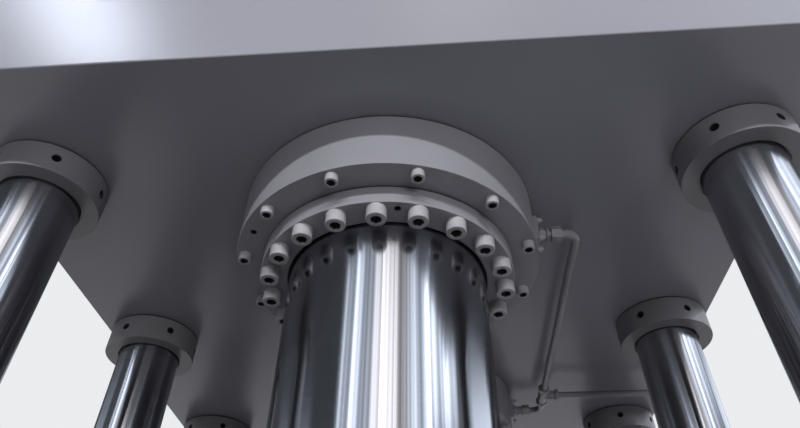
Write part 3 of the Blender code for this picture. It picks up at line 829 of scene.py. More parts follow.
def painted_shade_bead(radius, seat):
    """A dark bead of painted shade that nearly fills the groove below the seat."""
    low, outer = seat - relief_height, radius - bead_inset
    return turned([
        (radius - relief_depth, seat, 0), (radius - relief_depth, low, 0),
        (outer, low, bead_rounding), (outer, seat, bead_rounding),
    ])


def round_nut(radius, bore, height):
    recess = bore + recess_width
    ring = turned(relieved(radius, height) + [
        (radius, 0, nut_rounding), (recess, 0, sharp_edge), (recess, recess_depth, 0),
        (bore, recess_depth, 0), (bore, height, 0),
    ])
    middle = Matrix.Translation((0, 0, height / 2))
    turns = [Matrix.Rotation(math.tau * step / tommy_count, 4, "Z") @ middle for step in range(tommy_count)]
    drills = placed(tommy_drill(radius), *turns)
    # The tommy holes take the near-black finish: painted shade in the holes.
    return cut(in_finish(ring, nut_enamel), in_finish(drills, black_oxide))


print("a tommy hole is", round(tommy_radius * 2000), "mm wide and", round(tommy_depth * 1000), "mm deep")

# %% Nuts on their columns
inner_nut_turns = {
    "front_left": 7.0, "front_right": -9.0, "middle_left": 14.0,
    "middle_right": -12.0, "rear_left": -1.6, "rear_right": 21.0,
}
outer_nut_turns = {
    "front_left": 11.0, "front_right": 26.0, "middle_left": -9.0,
    "middle_right": 3.0, "rear_left": 18.0, "rear_right": -21.0,
}
nut_kinds = (
    # node, turn of each nut, and whether it sits upside down, with its seat below
    ("inner_nut", inner_nut_turns, False),
    ("top_nut", outer_nut_turns, True),
    ("foot_nut", outer_nut_turns, False),
)
for kind, turns, upside_down in nut_kinds:
    low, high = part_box(f"{kind}_front_left")
    nut_mesh = round_nut((high.y - low.y) / 2, column_radius + nut_clearance, high.z - low.z)
    shade_bead_mesh = painted_shade_bead((high.y - low.y) / 2, high.z - low.z)
    if upside_down:
        over = Matrix.Translation((0, 0, high.z - low.z)) @ Matrix.Rotation(math.pi, 4, "X")
        nut_mesh.transform(over)
        shade_bead_mesh.transform(over)
    seats = {
        place: Matrix.Translation(box_middle(*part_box(f"{kind}_{place}")) + Vector((0, 0, low.z)))
        for place in turns
    }
    # These dark beads are painted shade along the line under each nut.
    hand_over(f"{kind}_beads", placed(shade_bead_mesh, *seats.values()), seal_rubber, "frame", "packing")
    for place, degrees in turns.items():
        matrix = seats[place] @ Matrix.Rotation(math.radians(degrees), 4, "Z")
        hand_over(
            f"{kind}_ring_{place}", placed(nut_mesh, matrix), None, "frame", "frame_paint", f"{kind}_{place}"
        )

# %% [markdown]
# ## The crown
#
# The crown is a welded box, planed flat below and painted all over. Its front face and its underside
# fill most of the picture, so they must be truly flat with a fine round along the edges. The side
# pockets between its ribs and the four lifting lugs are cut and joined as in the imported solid, with
# round eyes in place of the coarse ones.

# %% Pockets, holes and lifting lugs
plate_rounding = 0.004
overrun = 0.010
hole_clearance = 0.0006
pocket_depth = 0.120
pocket_band = 0.110
rib_half = 0.1526
column_pitch = 0.736
lug_thickness, lug_width, lug_height, lug_eye = 0.040, 0.170, 0.150, 0.034
lug_x, lug_edge = 0.500, 0.160

crown_low, crown_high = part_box("crown")
crown_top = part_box("top_nut_front_left")[0].z - seat_gap
cylinder_places = {row: box_middle(*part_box(f"gland_{row}")) for row in ("front", "rear")}


def side_pockets(half_x, depth, near, z_low, z_high):
    """Boxes sunk into both sides between the columns."""
    far = column_pitch - near
    boxes = []
    for side in (-1, 1):
        for row in (-1, 1):
            xs = sorted((side * (half_x - depth), side * (half_x + overrun)))
            ys = sorted((row * near, row * far))
            boxes.append(block((xs[0], ys[0], z_low), (xs[1], ys[1], z_high)))
    return boxes


def column_holes(radius, z_low, z_high):
    return joined([
        bar(radius, (*box_middle(*corners).xy, z_low), (*box_middle(*corners).xy, z_high))
        for corners in column_places.values()
    ])


def eye_plate(x, y):
    plate = block(
        (x - lug_thickness / 2, y - lug_width / 2, crown_top - overrun),
        (x + lug_thickness / 2, y + lug_width / 2, crown_top + lug_height), plate_rounding,
    )
    eye_height = crown_top + lug_height / 2
    return cut(plate, bar(lug_eye, (x - lug_thickness, y, eye_height), (x + lug_thickness, y, eye_height)))


print("the crown reaches from", round(crown_low.z, 3), "to", round(crown_top, 3), "m")

# %% Crown
barrel_radius = 0.325
lug_y = crown_high.y - lug_edge
lugs = [eye_plate(x, y) for x in (-lug_x, lug_x) for y in (-lug_y, lug_y)]
crown_body = block(crown_low, (crown_high.x, crown_high.y, crown_top), plate_rounding)
barrel_holes = joined([
    bar(barrel_radius + hole_clearance, at + Vector((0, 0, crown_low.z - overrun)),
        at + Vector((0, 0, crown_top + overrun)), fine_steps)
    for at in cylinder_places.values()
])
crown_cuts = side_pockets(
    crown_high.x, pocket_depth, rib_half, crown_low.z + pocket_band, crown_top - pocket_band
)
crown_mesh = cut(
    crown_body, column_holes(column_radius + hole_clearance, crown_low.z - overrun, crown_top + overrun),
    barrel_holes, *crown_cuts,
)
crown_mesh = cut(crown_mesh, *lugs, operation="UNION")
hand_over("crown_body", crown_mesh, crown_enamel, "frame", "frame_paint", "crown")

# %% [markdown]
# ## The cylinders
#
# Each cylinder is one forging: a barrel with a thick flange that bears against the crown from below. The
# flange stands 158 mm proud, its lower edge is softly rounded and its upper edge is relieved, so that a
# thin dark line runs round it where it meets the crown, darkened further by a bead of painted shade in the
# groove. A pad is milled flat for the oil port.

# %% Cylinders
bore_radius = 0.260
flange_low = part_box("cylinder_front")[0].z
flange_high = crown_low.z - seat_gap
flange_radius = (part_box("cylinder_front")[1].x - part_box("cylinder_front")[0].x) / 2
barrel_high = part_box("cylinder_front")[1].z
port_drop = 0.055
port_height = crown_low.z - port_drop
port_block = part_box("port_block_front")
pad_x = port_block[0].x - seat_gap
pad_half = (port_block[1].y - port_block[0].y) / 2 + hole_clearance
flange_edge = 0.0015
jacking_radius = 0.0075
jacking_depth = 0.030
jacking_circle = 0.348
jacking_angles = (-150, 150)


def jacking_hole(radius, degrees, face):
    """A drill for a tapped hole in a face that looks down."""
    at = Vector((radius * math.cos(math.radians(degrees)), radius * math.sin(math.radians(degrees)), face))
    drill_start, drill_end = at - Vector((0, 0, overrun)), at + Vector((0, 0, jacking_depth))
    return bar(jacking_radius, drill_start, drill_end, drill_steps)


cylinder_mesh = turned([
    (barrel_radius, barrel_high, round_edge), (barrel_radius, flange_high, 0),
    *relieved(flange_radius, flange_high), (flange_radius, flange_low, flange_edge),
    (bore_radius, flange_low, fine_edge), (bore_radius, barrel_high, soft_edge),
], steps=ram_steps)
pad = block(
    (pad_x, -pad_half, port_block[0].z - hole_clearance),
    (flange_radius + overrun, pad_half, flange_high + overrun),
)
jacking_holes = joined([jacking_hole(jacking_circle, degrees, flange_low) for degrees in jacking_angles])
# The jacking holes take the near-black finish: painted shade in the holes.
cylinder_mesh = cut(
    in_finish(cylinder_mesh, machine_enamel), pad.copy(), in_finish(jacking_holes, black_oxide)
)
# The dark bead in the flange's groove is painted shade that darkens the line at the crown.
flange_shade_bead = cut(painted_shade_bead(flange_radius, flange_high), pad)
for row, at in cylinder_places.items():
    set_down(f"cylinder_forging_{row}", cylinder_mesh, at, None, "frame", "frame_paint", f"cylinder_{row}")
    set_down(f"flange_bead_{row}", flange_shade_bead, at, seal_rubber, "frame", "packing")

# %% [markdown]
# ## The glands and their screws
#
# The gland closes the pressure end and carries the packing. Twenty M30 screws hold it to the barrel, and
# twelve M20 screws hold the flange to the crown. This is the middle of the picture, so heads have real
# height, a rounded rim and a deep hexagon.

# %% Glands
gland_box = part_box("gland_front")
gland_radius = (gland_box[1].x - gland_box[0].x) / 2
gland_low = gland_box[0].z + screw_sizes["M30"][1]
gland_high = flange_low - seat_gap
spigot_high = gland_box[1].z
gland_bore = 0.245
gland_edge, gland_mouth_edge = 0.0012, 0.0025
gland_screw_circle, gland_screw_count = 0.2865, 20
flange_screw_circle, flange_screw_count = 0.354, 12
gland_jacking_circle, gland_jacking_angle = 0.290, -81
gland_mesh = turned([
    (bore_radius - hole_clearance, spigot_high, soft_edge), (bore_radius - hole_clearance, gland_high, 0),
    *relieved(gland_radius, gland_high), (gland_radius, gland_low, gland_edge),
    (gland_bore, gland_low, gland_mouth_edge), (gland_bore, spigot_high, fine_edge),
], steps=ram_steps)
# The jacking hole takes the near-black finish: painted shade in the hole.
gland_mesh = cut(
    in_finish(gland_mesh, machine_enamel),
    in_finish(jacking_hole(gland_jacking_circle, gland_jacking_angle, gland_low), black_oxide),
)
# The dark bead in the gland's groove is painted shade that darkens the line at the flange.
gland_shade_bead = painted_shade_bead(gland_radius, gland_high)
for row, at in cylinder_places.items():
    set_down(f"gland_bead_{row}", gland_shade_bead, at, seal_rubber, "frame", "packing")
    set_down(f"gland_ring_{row}", gland_mesh, at, None, "frame", "frame_paint", f"gland_{row}")
    ring_of_screws(
        f"gland_screws_{row}", "M30", gland_screw_count, gland_screw_circle, 0.0,
        facing((0, 0, -1), at + Vector((0, 0, gland_low))), "frame", screw_enamel, seed=3,
    )
    ring_of_screws(
        f"flange_screws_{row}", "M20", flange_screw_count, flange_screw_circle,
        half_step(flange_screw_count), facing((0, 0, -1), at + Vector((0, 0, flange_low))), "frame",
        screw_enamel, seed=7,
    )

# %% [markdown]
# ## Rams and packings
#
# The rams are the brightest thing in the picture: hard chrome, ground round and round and then polished.
# The fine rings of the grinding draw every reflection out along the bar, so that the surroundings turn
# into straight streaks; the finish has this as anisotropy. The form is plain and gets many sides. The
# packing is a black ring with a lip, set a little up into the gland.

# %% Rams and packings
ram_radius = 0.240
ram_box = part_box("ram_front")
ram_low, ram_high = ram_box[0].z, ram_box[1].z
piston_radius = (ram_box[1].x - ram_box[0].x) / 2
foot_height, neck_height, neck_radius, piston_height = 0.050, 0.060, 0.215, 0.120
piston_low = ram_high - piston_height
neck_low = ram_low + foot_height
neck_high = neck_low + neck_height
ram_mesh = turned([
    (0, ram_high, 0), (piston_radius, ram_high, broad_edge), (piston_radius, piston_low, broad_edge),
    (ram_radius, piston_low, soft_edge), (ram_radius, neck_high, broad_edge),
    (neck_radius, neck_high, round_edge), (neck_radius, neck_low, round_edge),
    (ram_radius, neck_low, round_edge), (ram_radius, ram_low, round_edge), (0, ram_low, 0),
], steps=ram_steps, closed=False)
packing_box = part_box("ram_packing_front")
packing_low, packing_high = packing_box[0].z, packing_box[1].z
packing_outer = (packing_box[1].x - packing_box[0].x) / 2

# how far the packing stands off the ram at its mouth, where it seals and in the groove between
packing_mouth, packing_touch, packing_groove = 0.0024, 0.0006, 0.0012
lip_rise, groove_rise, lip_rounding = 0.003, 0.012, 0.0003
packing_mesh = turned([
    (packing_outer, packing_high, fine_edge), (packing_outer, packing_low, bead_rounding),
    (ram_radius + packing_mouth, packing_low, sharp_edge),
    (ram_radius + packing_touch, packing_low + lip_rise, lip_rounding),
    (ram_radius + packing_groove, packing_low + groove_rise, fine_edge),
    (ram_radius + packing_touch, packing_high, 0),
], steps=ram_steps)
for row, at in cylinder_places.items():
    set_down(f"ram_bar_{row}", ram_mesh, at, ram_chrome, "slide", "chrome", f"ram_{row}")
    set_down(f"packing_ring_{row}", packing_mesh, at, seal_rubber, "frame", "packing", f"ram_packing_{row}")

# %% [markdown]
# ## Tubes on their routes
#
# The oil lines are bent from steel tube: straight runs and quarter bends. A route is a list of corners,
# rounded into arcs, and a small node tree sweeps the tube along it. The unions are hexagon nuts whose
# corners are turned off, which is what makes a nut look like a nut.

# %% Tube tree
bend_steps = 10
tube_sides = 32


def swept(tree, curve, radius, sides):
    """A round section swept along a curve, its ends closed."""
    section = node(tree, "GeometryNodeCurvePrimitiveCircle", {"Resolution": sides, "Radius": radius})
    return node(
        tree, "GeometryNodeCurveToMesh",
        {"Curve": curve, "Profile Curve": section.outputs["Curve"], "Fill Caps": True},
    ).outputs["Mesh"]


def tube_tree():
    tree, entry, leave = new_group(
        "Tube on a route", "GeometryNodeTree",
        (
            ("Route", "NodeSocketObject", None),
            ("Tube Radius", "NodeSocketFloat", 0.011),
            ("Sides", "NodeSocketInt", tube_sides),
            ("Finish", "NodeSocketMaterial", None),
        ),
        (("Tube", "NodeSocketGeometry"),),
    )
    route = node(tree, "GeometryNodeObjectInfo", {"Object": entry.outputs["Route"]})
    body = swept(tree, route.outputs["Geometry"], entry.outputs["Tube Radius"], entry.outputs["Sides"])
    tree.links.new(finished(tree, body, entry.outputs["Finish"]), leave.inputs["Tube"])
    return tree


tube_sweep = tube_tree()
print("tube tree:", len(tube_sweep.nodes), "nodes")

# %% Routes
def bent_route(corners, bend):
    """A line through the corners with each inner one rounded into a quarter circle."""
    points = [Vector(corners[0])]
    for before, corner, after in zip(corners, corners[1:], corners[2:]):
        corner = Vector(corner)
        toward = (Vector(before) - corner).normalized()
        away = (Vector(after) - corner).normalized()
        centre = corner + (toward + away) * bend
        for step in range(bend_steps + 1):
            angle = math.pi / 2 * step / bend_steps
            points.append(centre - away * bend * math.cos(angle) - toward * bend * math.sin(angle))
    return points + [Vector(corners[-1])]


def grown_along(tree, paths, values, closed=False):
    """Runs a tree along straight pieces through the points of each path, and merges what meets."""
    curve = bpy.data.curves.new("route", "CURVE")
    curve.dimensions = "3D"
    for points in paths:
        spline = curve.splines.new("POLY")
        spline.points.add(len(points) - 1)
        for target, point in zip(spline.points, points):
            target.co = (*point, 1.0)
        spline.use_cyclic_u = closed
    route = bpy.data.objects.new("route", curve)
    bpy.context.scene.collection.objects.link(route)
    mesh = grown(tree, {"Route": route, **values})
    bpy.data.objects.remove(route)
    bm = bmesh.new()
    bm.from_mesh(mesh)
    bmesh.ops.remove_doubles(bm, verts=bm.verts, dist=weld_distance)
    bmesh.ops.recalc_face_normals(bm, faces=bm.faces)
    return to_mesh(bm)


def tube(corners, radius, bend, material):
    values = {"Tube Radius": radius, "Sides": tube_sides, "Finish": material}
    return grown_along(tube_sweep, [bent_route(corners, bend)], values)


print("points in a quarter bend:", bend_steps + 1)

# %% Unions and tee
union_across = 0.036
union_length = 0.040
union_neck = 0.006
pipe_radius = 0.011

# a hexagon nut's end faces, and the cone that turns its corners off
rim_share, outside_share, chamfer_share = 0.97, 1.01, 0.6

# the round parts of a union, as shares of its width across the flats
shank_share, foot_share = 0.36, 0.46
shank_overlap = 0.002


def hexagon_nut(across, length):
    """A hexagon nut from height 0 up, its corners turned off at both ends."""
    corner = across / math.sqrt(3)
    prism = bar(corner, (0, 0, 0), (0, 0, length), sides=6)
    rim = across / 2 * rim_share
    outside = corner * outside_share
    chamfer = (corner - rim) * chamfer_share
    envelope = turned([
        (0, length, 0), (rim, length, 0), (outside, length - chamfer, 0),
        (outside, chamfer, 0), (rim, 0, 0), (0, 0, 0),
    ], steps=coarse_steps, closed=False)
    return cut(prism, envelope, operation="INTERSECT")


def union(length):
    """A pipe union: a round shank at its seat, a groove, and the hexagon nut."""
    nut = hexagon_nut(union_across, length - 2 * union_neck)
    nut.transform(Matrix.Translation((0, 0, 2 * union_neck)))
    shank_radius, foot_radius = union_across * shank_share, union_across * foot_share
    shank_top = 2 * union_neck + shank_overlap
    shank = turned([
        (0, shank_top, 0), (shank_radius, shank_top, 0), (shank_radius, union_neck, 0),
        (foot_radius, union_neck, fine_edge), (foot_radius, 0, fine_edge), (0, 0, 0),
    ], steps=coarse_steps, closed=False)
    return joined([nut, shank])


long_union, short_union = union(union_length), union(union_length / 2 + union_neck)
print("union:", len(long_union.polygons), "faces")

# %% Rod-side lines
port_out = port_block[1].x + seat_gap
run_x = 0.488
tee_y = 0.394
tee_arm = 0.030
rod_bend = 0.030
tee_reach = tee_arm + seat_gap
riser_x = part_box("supply_pipe")[1].x - pipe_radius
riser_port_height = 0.080
riser_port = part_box("valve_block")[0].z + riser_port_height
for row, end in (("front", -1), ("rear", 1)):
    y = cylinder_places[row].y
    route = [
        (port_out, y, port_height), (run_x, y, port_height), (run_x, tee_y + end * tee_reach, port_height),
    ]
    line = joined([
        tube(route, pipe_radius, rod_bend, pipe_enamel),
        placed(long_union, *facing((1, 0, 0), route[0])),
        placed(short_union, *facing((0, end, 0), route[-1])),
    ])
    hand_over(f"oil_line_{row}", line, pipe_enamel, "frame", "pipe_paint", f"rod_side_pipe_{row}")

tee_body_radius = 0.0165
tee_mesh = cut(
    bar(tee_body_radius, (run_x, tee_y - tee_arm, port_height), (run_x, tee_y + tee_arm, port_height)),
    bar(tee_body_radius, (run_x, tee_y, port_height), (run_x + tee_arm, tee_y, port_height)),
    operation="UNION",
)
hand_over("tee_body", tee_mesh, pipe_enamel, "frame", "pipe_paint", "pipe_tee")
supply_route = [
    (run_x + tee_reach, tee_y, port_height), (riser_x, tee_y, port_height), (riser_x, tee_y, riser_port),
    (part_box("valve_block")[1].x + seat_gap, tee_y, riser_port),
]
supply_line = joined([
    tube(supply_route, pipe_radius, rod_bend, pipe_enamel),
    placed(short_union, *facing((1, 0, 0), supply_route[0])),
    placed(long_union, *facing((1, 0, 0), supply_route[-1])),
])
hand_over("oil_line_supply", supply_line, pipe_enamel, "frame", "pipe_paint", "supply_pipe")

# %% Clamps on the riser
clamp_reach = 0.018
clamp_half_width, clamp_half_height = 0.016, 0.015
for name, height in (("low", crown_low.z + pocket_band / 2), ("high", crown_top - pocket_band / 2)):
    low = Vector((crown_high.x, tee_y - clamp_half_width, height - clamp_half_height))
    high = Vector((riser_x + clamp_reach, tee_y + clamp_half_width, height + clamp_half_height))
    channel = bar(pipe_radius, (riser_x, tee_y, low.z - overrun), (riser_x, tee_y, high.z + overrun))
    hand_over(
        f"riser_clamp_{name}", cut(block(low, high, round_edge), channel), milled_block, "frame",
        "block_steel",
    )
    ring_of_screws(
        f"riser_clamp_screw_{name}", "M10", 1, 0.0, 0.0, facing((1, 0, 0), Vector((high.x, tee_y, height))),
        "frame", black_oxide, slot="block_steel",
    )

# %% [markdown]
# ## Port flanges
#
# The oil enters each cylinder through a small screwed plate on the milled pad. A hexagon on the plate
# takes the union, and between the two hexagons the neck shows as a dark groove.

# %% Port flanges
plate_thickness = 0.014
stem_across = 0.032
stem_neck_radius = 0.0125
stem_groove = 0.004
port_screw_y, port_screw_z = 0.0235, 0.0285
for row in ("front", "rear"):
    low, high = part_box(f"port_block_{row}")
    middle = (low + high) / 2
    plate_face = low.x + plate_thickness
    plate = block(low, (plate_face, high.y, high.z), round_edge)
    neck = bar(
        stem_neck_radius, (plate_face - stem_groove, middle.y, middle.z), (high.x, middle.y, middle.z)
    )
    hexagon = hexagon_nut(stem_across, high.x - plate_face - 2 * stem_groove)
    stem = placed(hexagon, *facing((1, 0, 0), (plate_face + stem_groove, middle.y, middle.z)))
    hand_over(
        f"port_flange_{row}", cut(plate, neck, stem, operation="UNION"), machine_enamel, "frame",
        "frame_paint", f"port_block_{row}",
    )
    corners = [
        Vector((plate_face, middle.y + side * port_screw_y, middle.z + end * port_screw_z))
        for side in (-1, 1) for end in (-1, 1)
    ]
    ring_of_screws(
        f"port_screws_{row}", "M10", 1, 0.0, 0.0, facing((1, 0, 0), *corners), "frame", screw_enamel
    )

# %% [markdown]
# ## Above the crown
#
# A large ring nut with spanner slots draws each barrel up against its flange, and a lid with an inlet
# housing closes it. None of this is in the photograph; it is finished as such presses have it.

# %% Ring nuts and barrel heads
slot_count = 6
slot_half_width = 0.018
slot_depth = 0.016
ring_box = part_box("ring_nut_front")
ring_radius = (ring_box[1].x - ring_box[0].x) / 2
ring_low, ring_high = ring_box[0].z, ring_box[1].z
ring_bore = barrel_radius + hole_clearance
ring_mesh = turned([
    (ring_radius, ring_high, broad_edge), (ring_radius, ring_low, round_edge),
    (ring_bore, ring_low, soft_edge), (ring_bore, ring_high, round_edge),
], steps=ram_steps)
slot_tool = block(
    (ring_radius - slot_depth, -slot_half_width, ring_low - overrun),
    (ring_radius + overrun, slot_half_width, ring_high + overrun),
)
slot_turns = [Matrix.Rotation(math.tau * step / slot_count, 4, "Z") for step in range(slot_count)]
ring_mesh = cut(ring_mesh, placed(slot_tool, *slot_turns))

head_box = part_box("barrel_head_front")
head_low, head_high = head_box[0].z, head_box[1].z
lid_thickness = 0.080
lid_low = barrel_high + seat_gap
lid_high = lid_low + lid_thickness
spigot_radius = 0.2578
inlet_radius = 0.165
head_mesh = turned([
    (0, head_high, 0), (inlet_radius, head_high, heavy_edge), (inlet_radius, lid_high, heavy_edge),
    (barrel_radius, lid_high, broad_edge), (barrel_radius, lid_low, soft_edge),
    (spigot_radius, lid_low, fine_edge), (spigot_radius, head_low, soft_edge), (0, head_low, 0),
], steps=ram_steps, closed=False)
lid_screw_circle, lid_screw_count = 0.285, 16
for row, at in cylinder_places.items():
    set_down(
        f"barrel_ring_nut_{row}", ring_mesh, at, machine_enamel, "frame", "frame_paint", f"ring_nut_{row}"
    )
    set_down(
        f"barrel_lid_{row}", head_mesh, at, machine_enamel, "frame", "frame_paint", f"barrel_head_{row}"
    )
    ring_of_screws(
        f"lid_screws_{row}", "M30", lid_screw_count, lid_screw_circle, 0.0,
        facing((0, 0, 1), at + Vector((0, 0, lid_high))), "frame", screw_enamel, seed=11,
    )

# %% Valve block and pressure lines
block_low, block_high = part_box("valve_block")
block_middle = (block_low + block_high) / 2
head_pipe_radius = 0.030
head_pipe_bend = 0.110
collar_radius = 0.052
collar_length = 0.028
collar_screw_circle, collar_screw_count = 0.041, 4
valve_edge = 0.008
line_offset = 0.0775
inlet_rise = 0.065
same_row = 0.001
line_x = block_middle.x
line_ys = {"front": block_middle.y - line_offset, "rear": block_middle.y + line_offset}
inlet_height = lid_high + inlet_rise
hand_over(
    "valve_body", block(block_low, block_high, valve_edge), milled_block, "frame", "block_steel",
    "valve_block",
)
collar_mesh = turned([
    (0, collar_length, 0), (collar_radius, collar_length, round_edge), (collar_radius, 0, fine_edge),
    (0, 0, 0),
], steps=coarse_steps, closed=False)
for row, at in cylinder_places.items():
    start = Vector((line_x, line_ys[row], block_high.z + seat_gap))
    end = Vector((inlet_radius + seat_gap, at.y, inlet_height))
    corners = [start, Vector((line_x, start.y, inlet_height)), end]
    if abs(start.y - at.y) > same_row:
        corners.insert(2, Vector((line_x, at.y, inlet_height)))
    line = joined([
        tube(corners, head_pipe_radius, head_pipe_bend, pipe_enamel),
        placed(collar_mesh, *facing((0, 0, 1), start)), placed(collar_mesh, *facing((1, 0, 0), end)),
    ])
    hand_over(f"pressure_line_{row}", line, pipe_enamel, "frame", "pipe_paint", f"head_pipe_{row}")
    collar_faces = (
        facing((0, 0, 1), start + Vector((0, 0, collar_length)))
        + facing((1, 0, 0), end + Vector((collar_length, 0, 0)))
    )
    ring_of_screws(
        f"collar_screws_{row}", "M10", collar_screw_count, collar_screw_circle,
        half_step(collar_screw_count), collar_faces, "frame", screw_enamel, slot="pipe_paint",
    )

plug_across = 0.050
plug_height = 0.012
plug_offset, plug_lifts = 0.070, (-0.035, 0.040)
plug_mesh = hexagon_nut(plug_across, plug_height)
front_plugs = facing((0, -1, 0), *[
    Vector((block_middle.x + side * plug_offset, block_low.y, block_middle.z + lift))
    for side in (-1, 1) for lift in plug_lifts
])
hand_over("valve_plugs", placed(plug_mesh, *front_plugs), ground_steel, "frame", "block_steel")

# %% [markdown]
# ## A grid of drills
#
# Dies are bolted to the bolster below and to the slide above, so both faces have rows of tapped holes. A
# small tree sets a cylinder on every point of a grid, and the whole grid then cuts its plate at once.

# %% Drill grid tree
def drill_grid_tree():
    tree, entry, leave = new_group(
        "Grid of drills", "GeometryNodeTree",
        (
            ("Size X", "NodeSocketFloat", 1.0),
            ("Size Y", "NodeSocketFloat", 1.0),
            ("Columns", "NodeSocketInt", 4),
            ("Rows", "NodeSocketInt", 6),
            ("Drill Radius", "NodeSocketFloat", 0.012),
            ("Drill Depth", "NodeSocketFloat", 0.040),
            ("Finish", "NodeSocketMaterial", None),
        ),
        (("Drills", "NodeSocketGeometry"),),
    )
    grid = node(
        tree, "GeometryNodeMeshGrid",
        {"Size X": entry.outputs["Size X"], "Size Y": entry.outputs["Size Y"],
         "Vertices X": entry.outputs["Columns"], "Vertices Y": entry.outputs["Rows"]},
    )
    drill = node(
        tree, "GeometryNodeMeshCylinder",
        {"Vertices": drill_steps, "Radius": entry.outputs["Drill Radius"],
         "Depth": entry.outputs["Drill Depth"]},
    )
    copies = node(
        tree, "GeometryNodeInstanceOnPoints",
        {"Points": grid.outputs["Mesh"], "Instance": drill.outputs["Mesh"]},
    )
    drills = finished(tree, copies.outputs["Instances"], entry.outputs["Finish"])
    tree.links.new(drills, leave.inputs["Drills"])
    return tree


drill_grid = drill_grid_tree()
print("drill tree:", len(drill_grid.nodes), "nodes")

# %% Tapped faces
tapped_span_x, tapped_span_y = 1.120, 1.680
tapped_columns, tapped_rows = 8, 12
tapped_radius, tapped_depth = 0.0125, 0.040


def tapped_face(plate, height):
    """The plate with the grid of blind holes sunk into its face at this height."""
    # The holes take the near-black finish: painted shade in the holes.
    drills = grown(drill_grid, {
        "Size X": tapped_span_x, "Size Y": tapped_span_y, "Columns": tapped_columns, "Rows": tapped_rows,
        "Drill Radius": tapped_radius, "Drill Depth": 2 * tapped_depth, "Finish": black_oxide,
    })
    drills.transform(Matrix.Translation((0, 0, height)))
    return cut(plate, drills)


print("tapped holes:", tapped_columns * tapped_rows, "on each face")

# %% [markdown]
# ## The slide
#
# The slide is the moving platen. It runs on the columns in bronze bushes with screwed flanges, and split
# clamps hold the rams' feet to it. Each of these rides on the body `slide`, so they travel together.

# %% Slide
slide_low, slide_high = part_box("slide")
bush_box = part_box("guide_bush_front_left")
bush_radius = 0.1106
slide_pocket_depth, slide_pocket_band, slide_rib_half = 0.045, 0.090, 0.1556
slide_cuts = side_pockets(
    slide_high.x, slide_pocket_depth, slide_rib_half, slide_low.z + slide_pocket_band,
    slide_high.z - slide_pocket_band,
)
slide_mesh = cut(
    block(slide_low, slide_high, heavy_edge),
    column_holes(bush_radius + seat_gap, slide_low.z - overrun, slide_high.z + overrun), *slide_cuts,
)
slide_mesh = tapped_face(in_finish(slide_mesh, machine_enamel), slide_low.z)
hand_over("slide_body", slide_mesh, None, "slide", "frame_paint", "slide")

# %% Guide bushes
bush_flange = (bush_box[1].x - bush_box[0].x) / 2
bush_flange_height = 0.024
bush_screw_count = 8
bush_low, bush_high = bush_box[0].z, bush_box[1].z
bush_bore = column_radius + hole_clearance
bush_mesh = turned([
    (bush_flange, bush_high, soft_edge), (bush_flange, bush_high - bush_flange_height, fine_edge),
    (bush_radius, bush_high - bush_flange_height, 0), (bush_radius, bush_low, fine_edge),
    (bush_bore, bush_low, fine_edge), (bush_bore, bush_high, round_edge),
])
bush_tops = []
for name, corners in column_places.items():
    at = box_middle(*corners)
    set_down(f"bush_{name}", bush_mesh, at, turned_bronze, "slide", "bronze", f"guide_bush_{name}")
    bush_tops.append(at + Vector((0, 0, bush_high)))
ring_of_screws(
    "bush_screws", "M10", bush_screw_count, (bush_flange + bush_radius) / 2, half_step(bush_screw_count),
    facing((0, 0, 1), *bush_tops), "slide", black_oxide, slot="bronze", seed=5,
)

# %% [markdown]
# ## Ram clamps
#
# Each ram ends in a foot below a neck. Two half rings grip the neck and are screwed down on the slide.
# A half ring is a whole ring with one side cut away, so the turned outline can be used once more.

# %% Ram clamps
clamp_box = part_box("ram_clamp_front_a")
clamp_outer = (clamp_box[1].x - clamp_box[0].x) / 2
clamp_low, clamp_high = clamp_box[0].z, clamp_box[1].z
clamp_split = 0.001
clamp_bore, clamp_lip_bore = 0.2435, 0.2185
clamp_lip_low = neck_low + seat_gap
clamp_screw_count = 12
whole_clamp = turned([
    (clamp_outer, clamp_high, broad_edge), (clamp_outer, clamp_low, soft_edge),
    (clamp_bore, clamp_low, fine_edge), (clamp_bore, clamp_lip_low, 0),
    (clamp_lip_bore, clamp_lip_low, 0), (clamp_lip_bore, clamp_high, round_edge),
])
for row, at in cylinder_places.items():
    for half, side in (("a", -1), ("b", 1)):
        ys = sorted((-side * (clamp_outer + overrun), side * clamp_split))
        away = block(
            (-clamp_outer - overrun, ys[0], clamp_low - overrun),
            (clamp_outer + overrun, ys[1], clamp_high + overrun),
        )
        set_down(
            f"clamp_{row}_{half}", cut(whole_clamp.copy(), away), at, machine_enamel, "slide",
            "frame_paint", f"ram_clamp_{row}_{half}",
        )
    ring_of_screws(
        f"clamp_screws_{row}", "M24", clamp_screw_count, (clamp_outer + clamp_bore) / 2,
        half_step(clamp_screw_count), facing((0, 0, 1), at + Vector((0, 0, clamp_high))), "slide",
        screw_enamel, seed=13,
    )

# %% [markdown]
# ## Weld beads
#
# The lugs and the bed's foot are welded on, and a press without beads looks like a toy. A bead is a small
# round that swells and shrinks with every dip of the electrode, so a node tree sweeps a circle along a
# path and varies its radius with a sine of the length.

# %% Weld tree
bead_radius = 0.006
bead_sides = 8
ripple_length = 0.012
ripple_share = 0.12
steps_per_ripple = 3.0


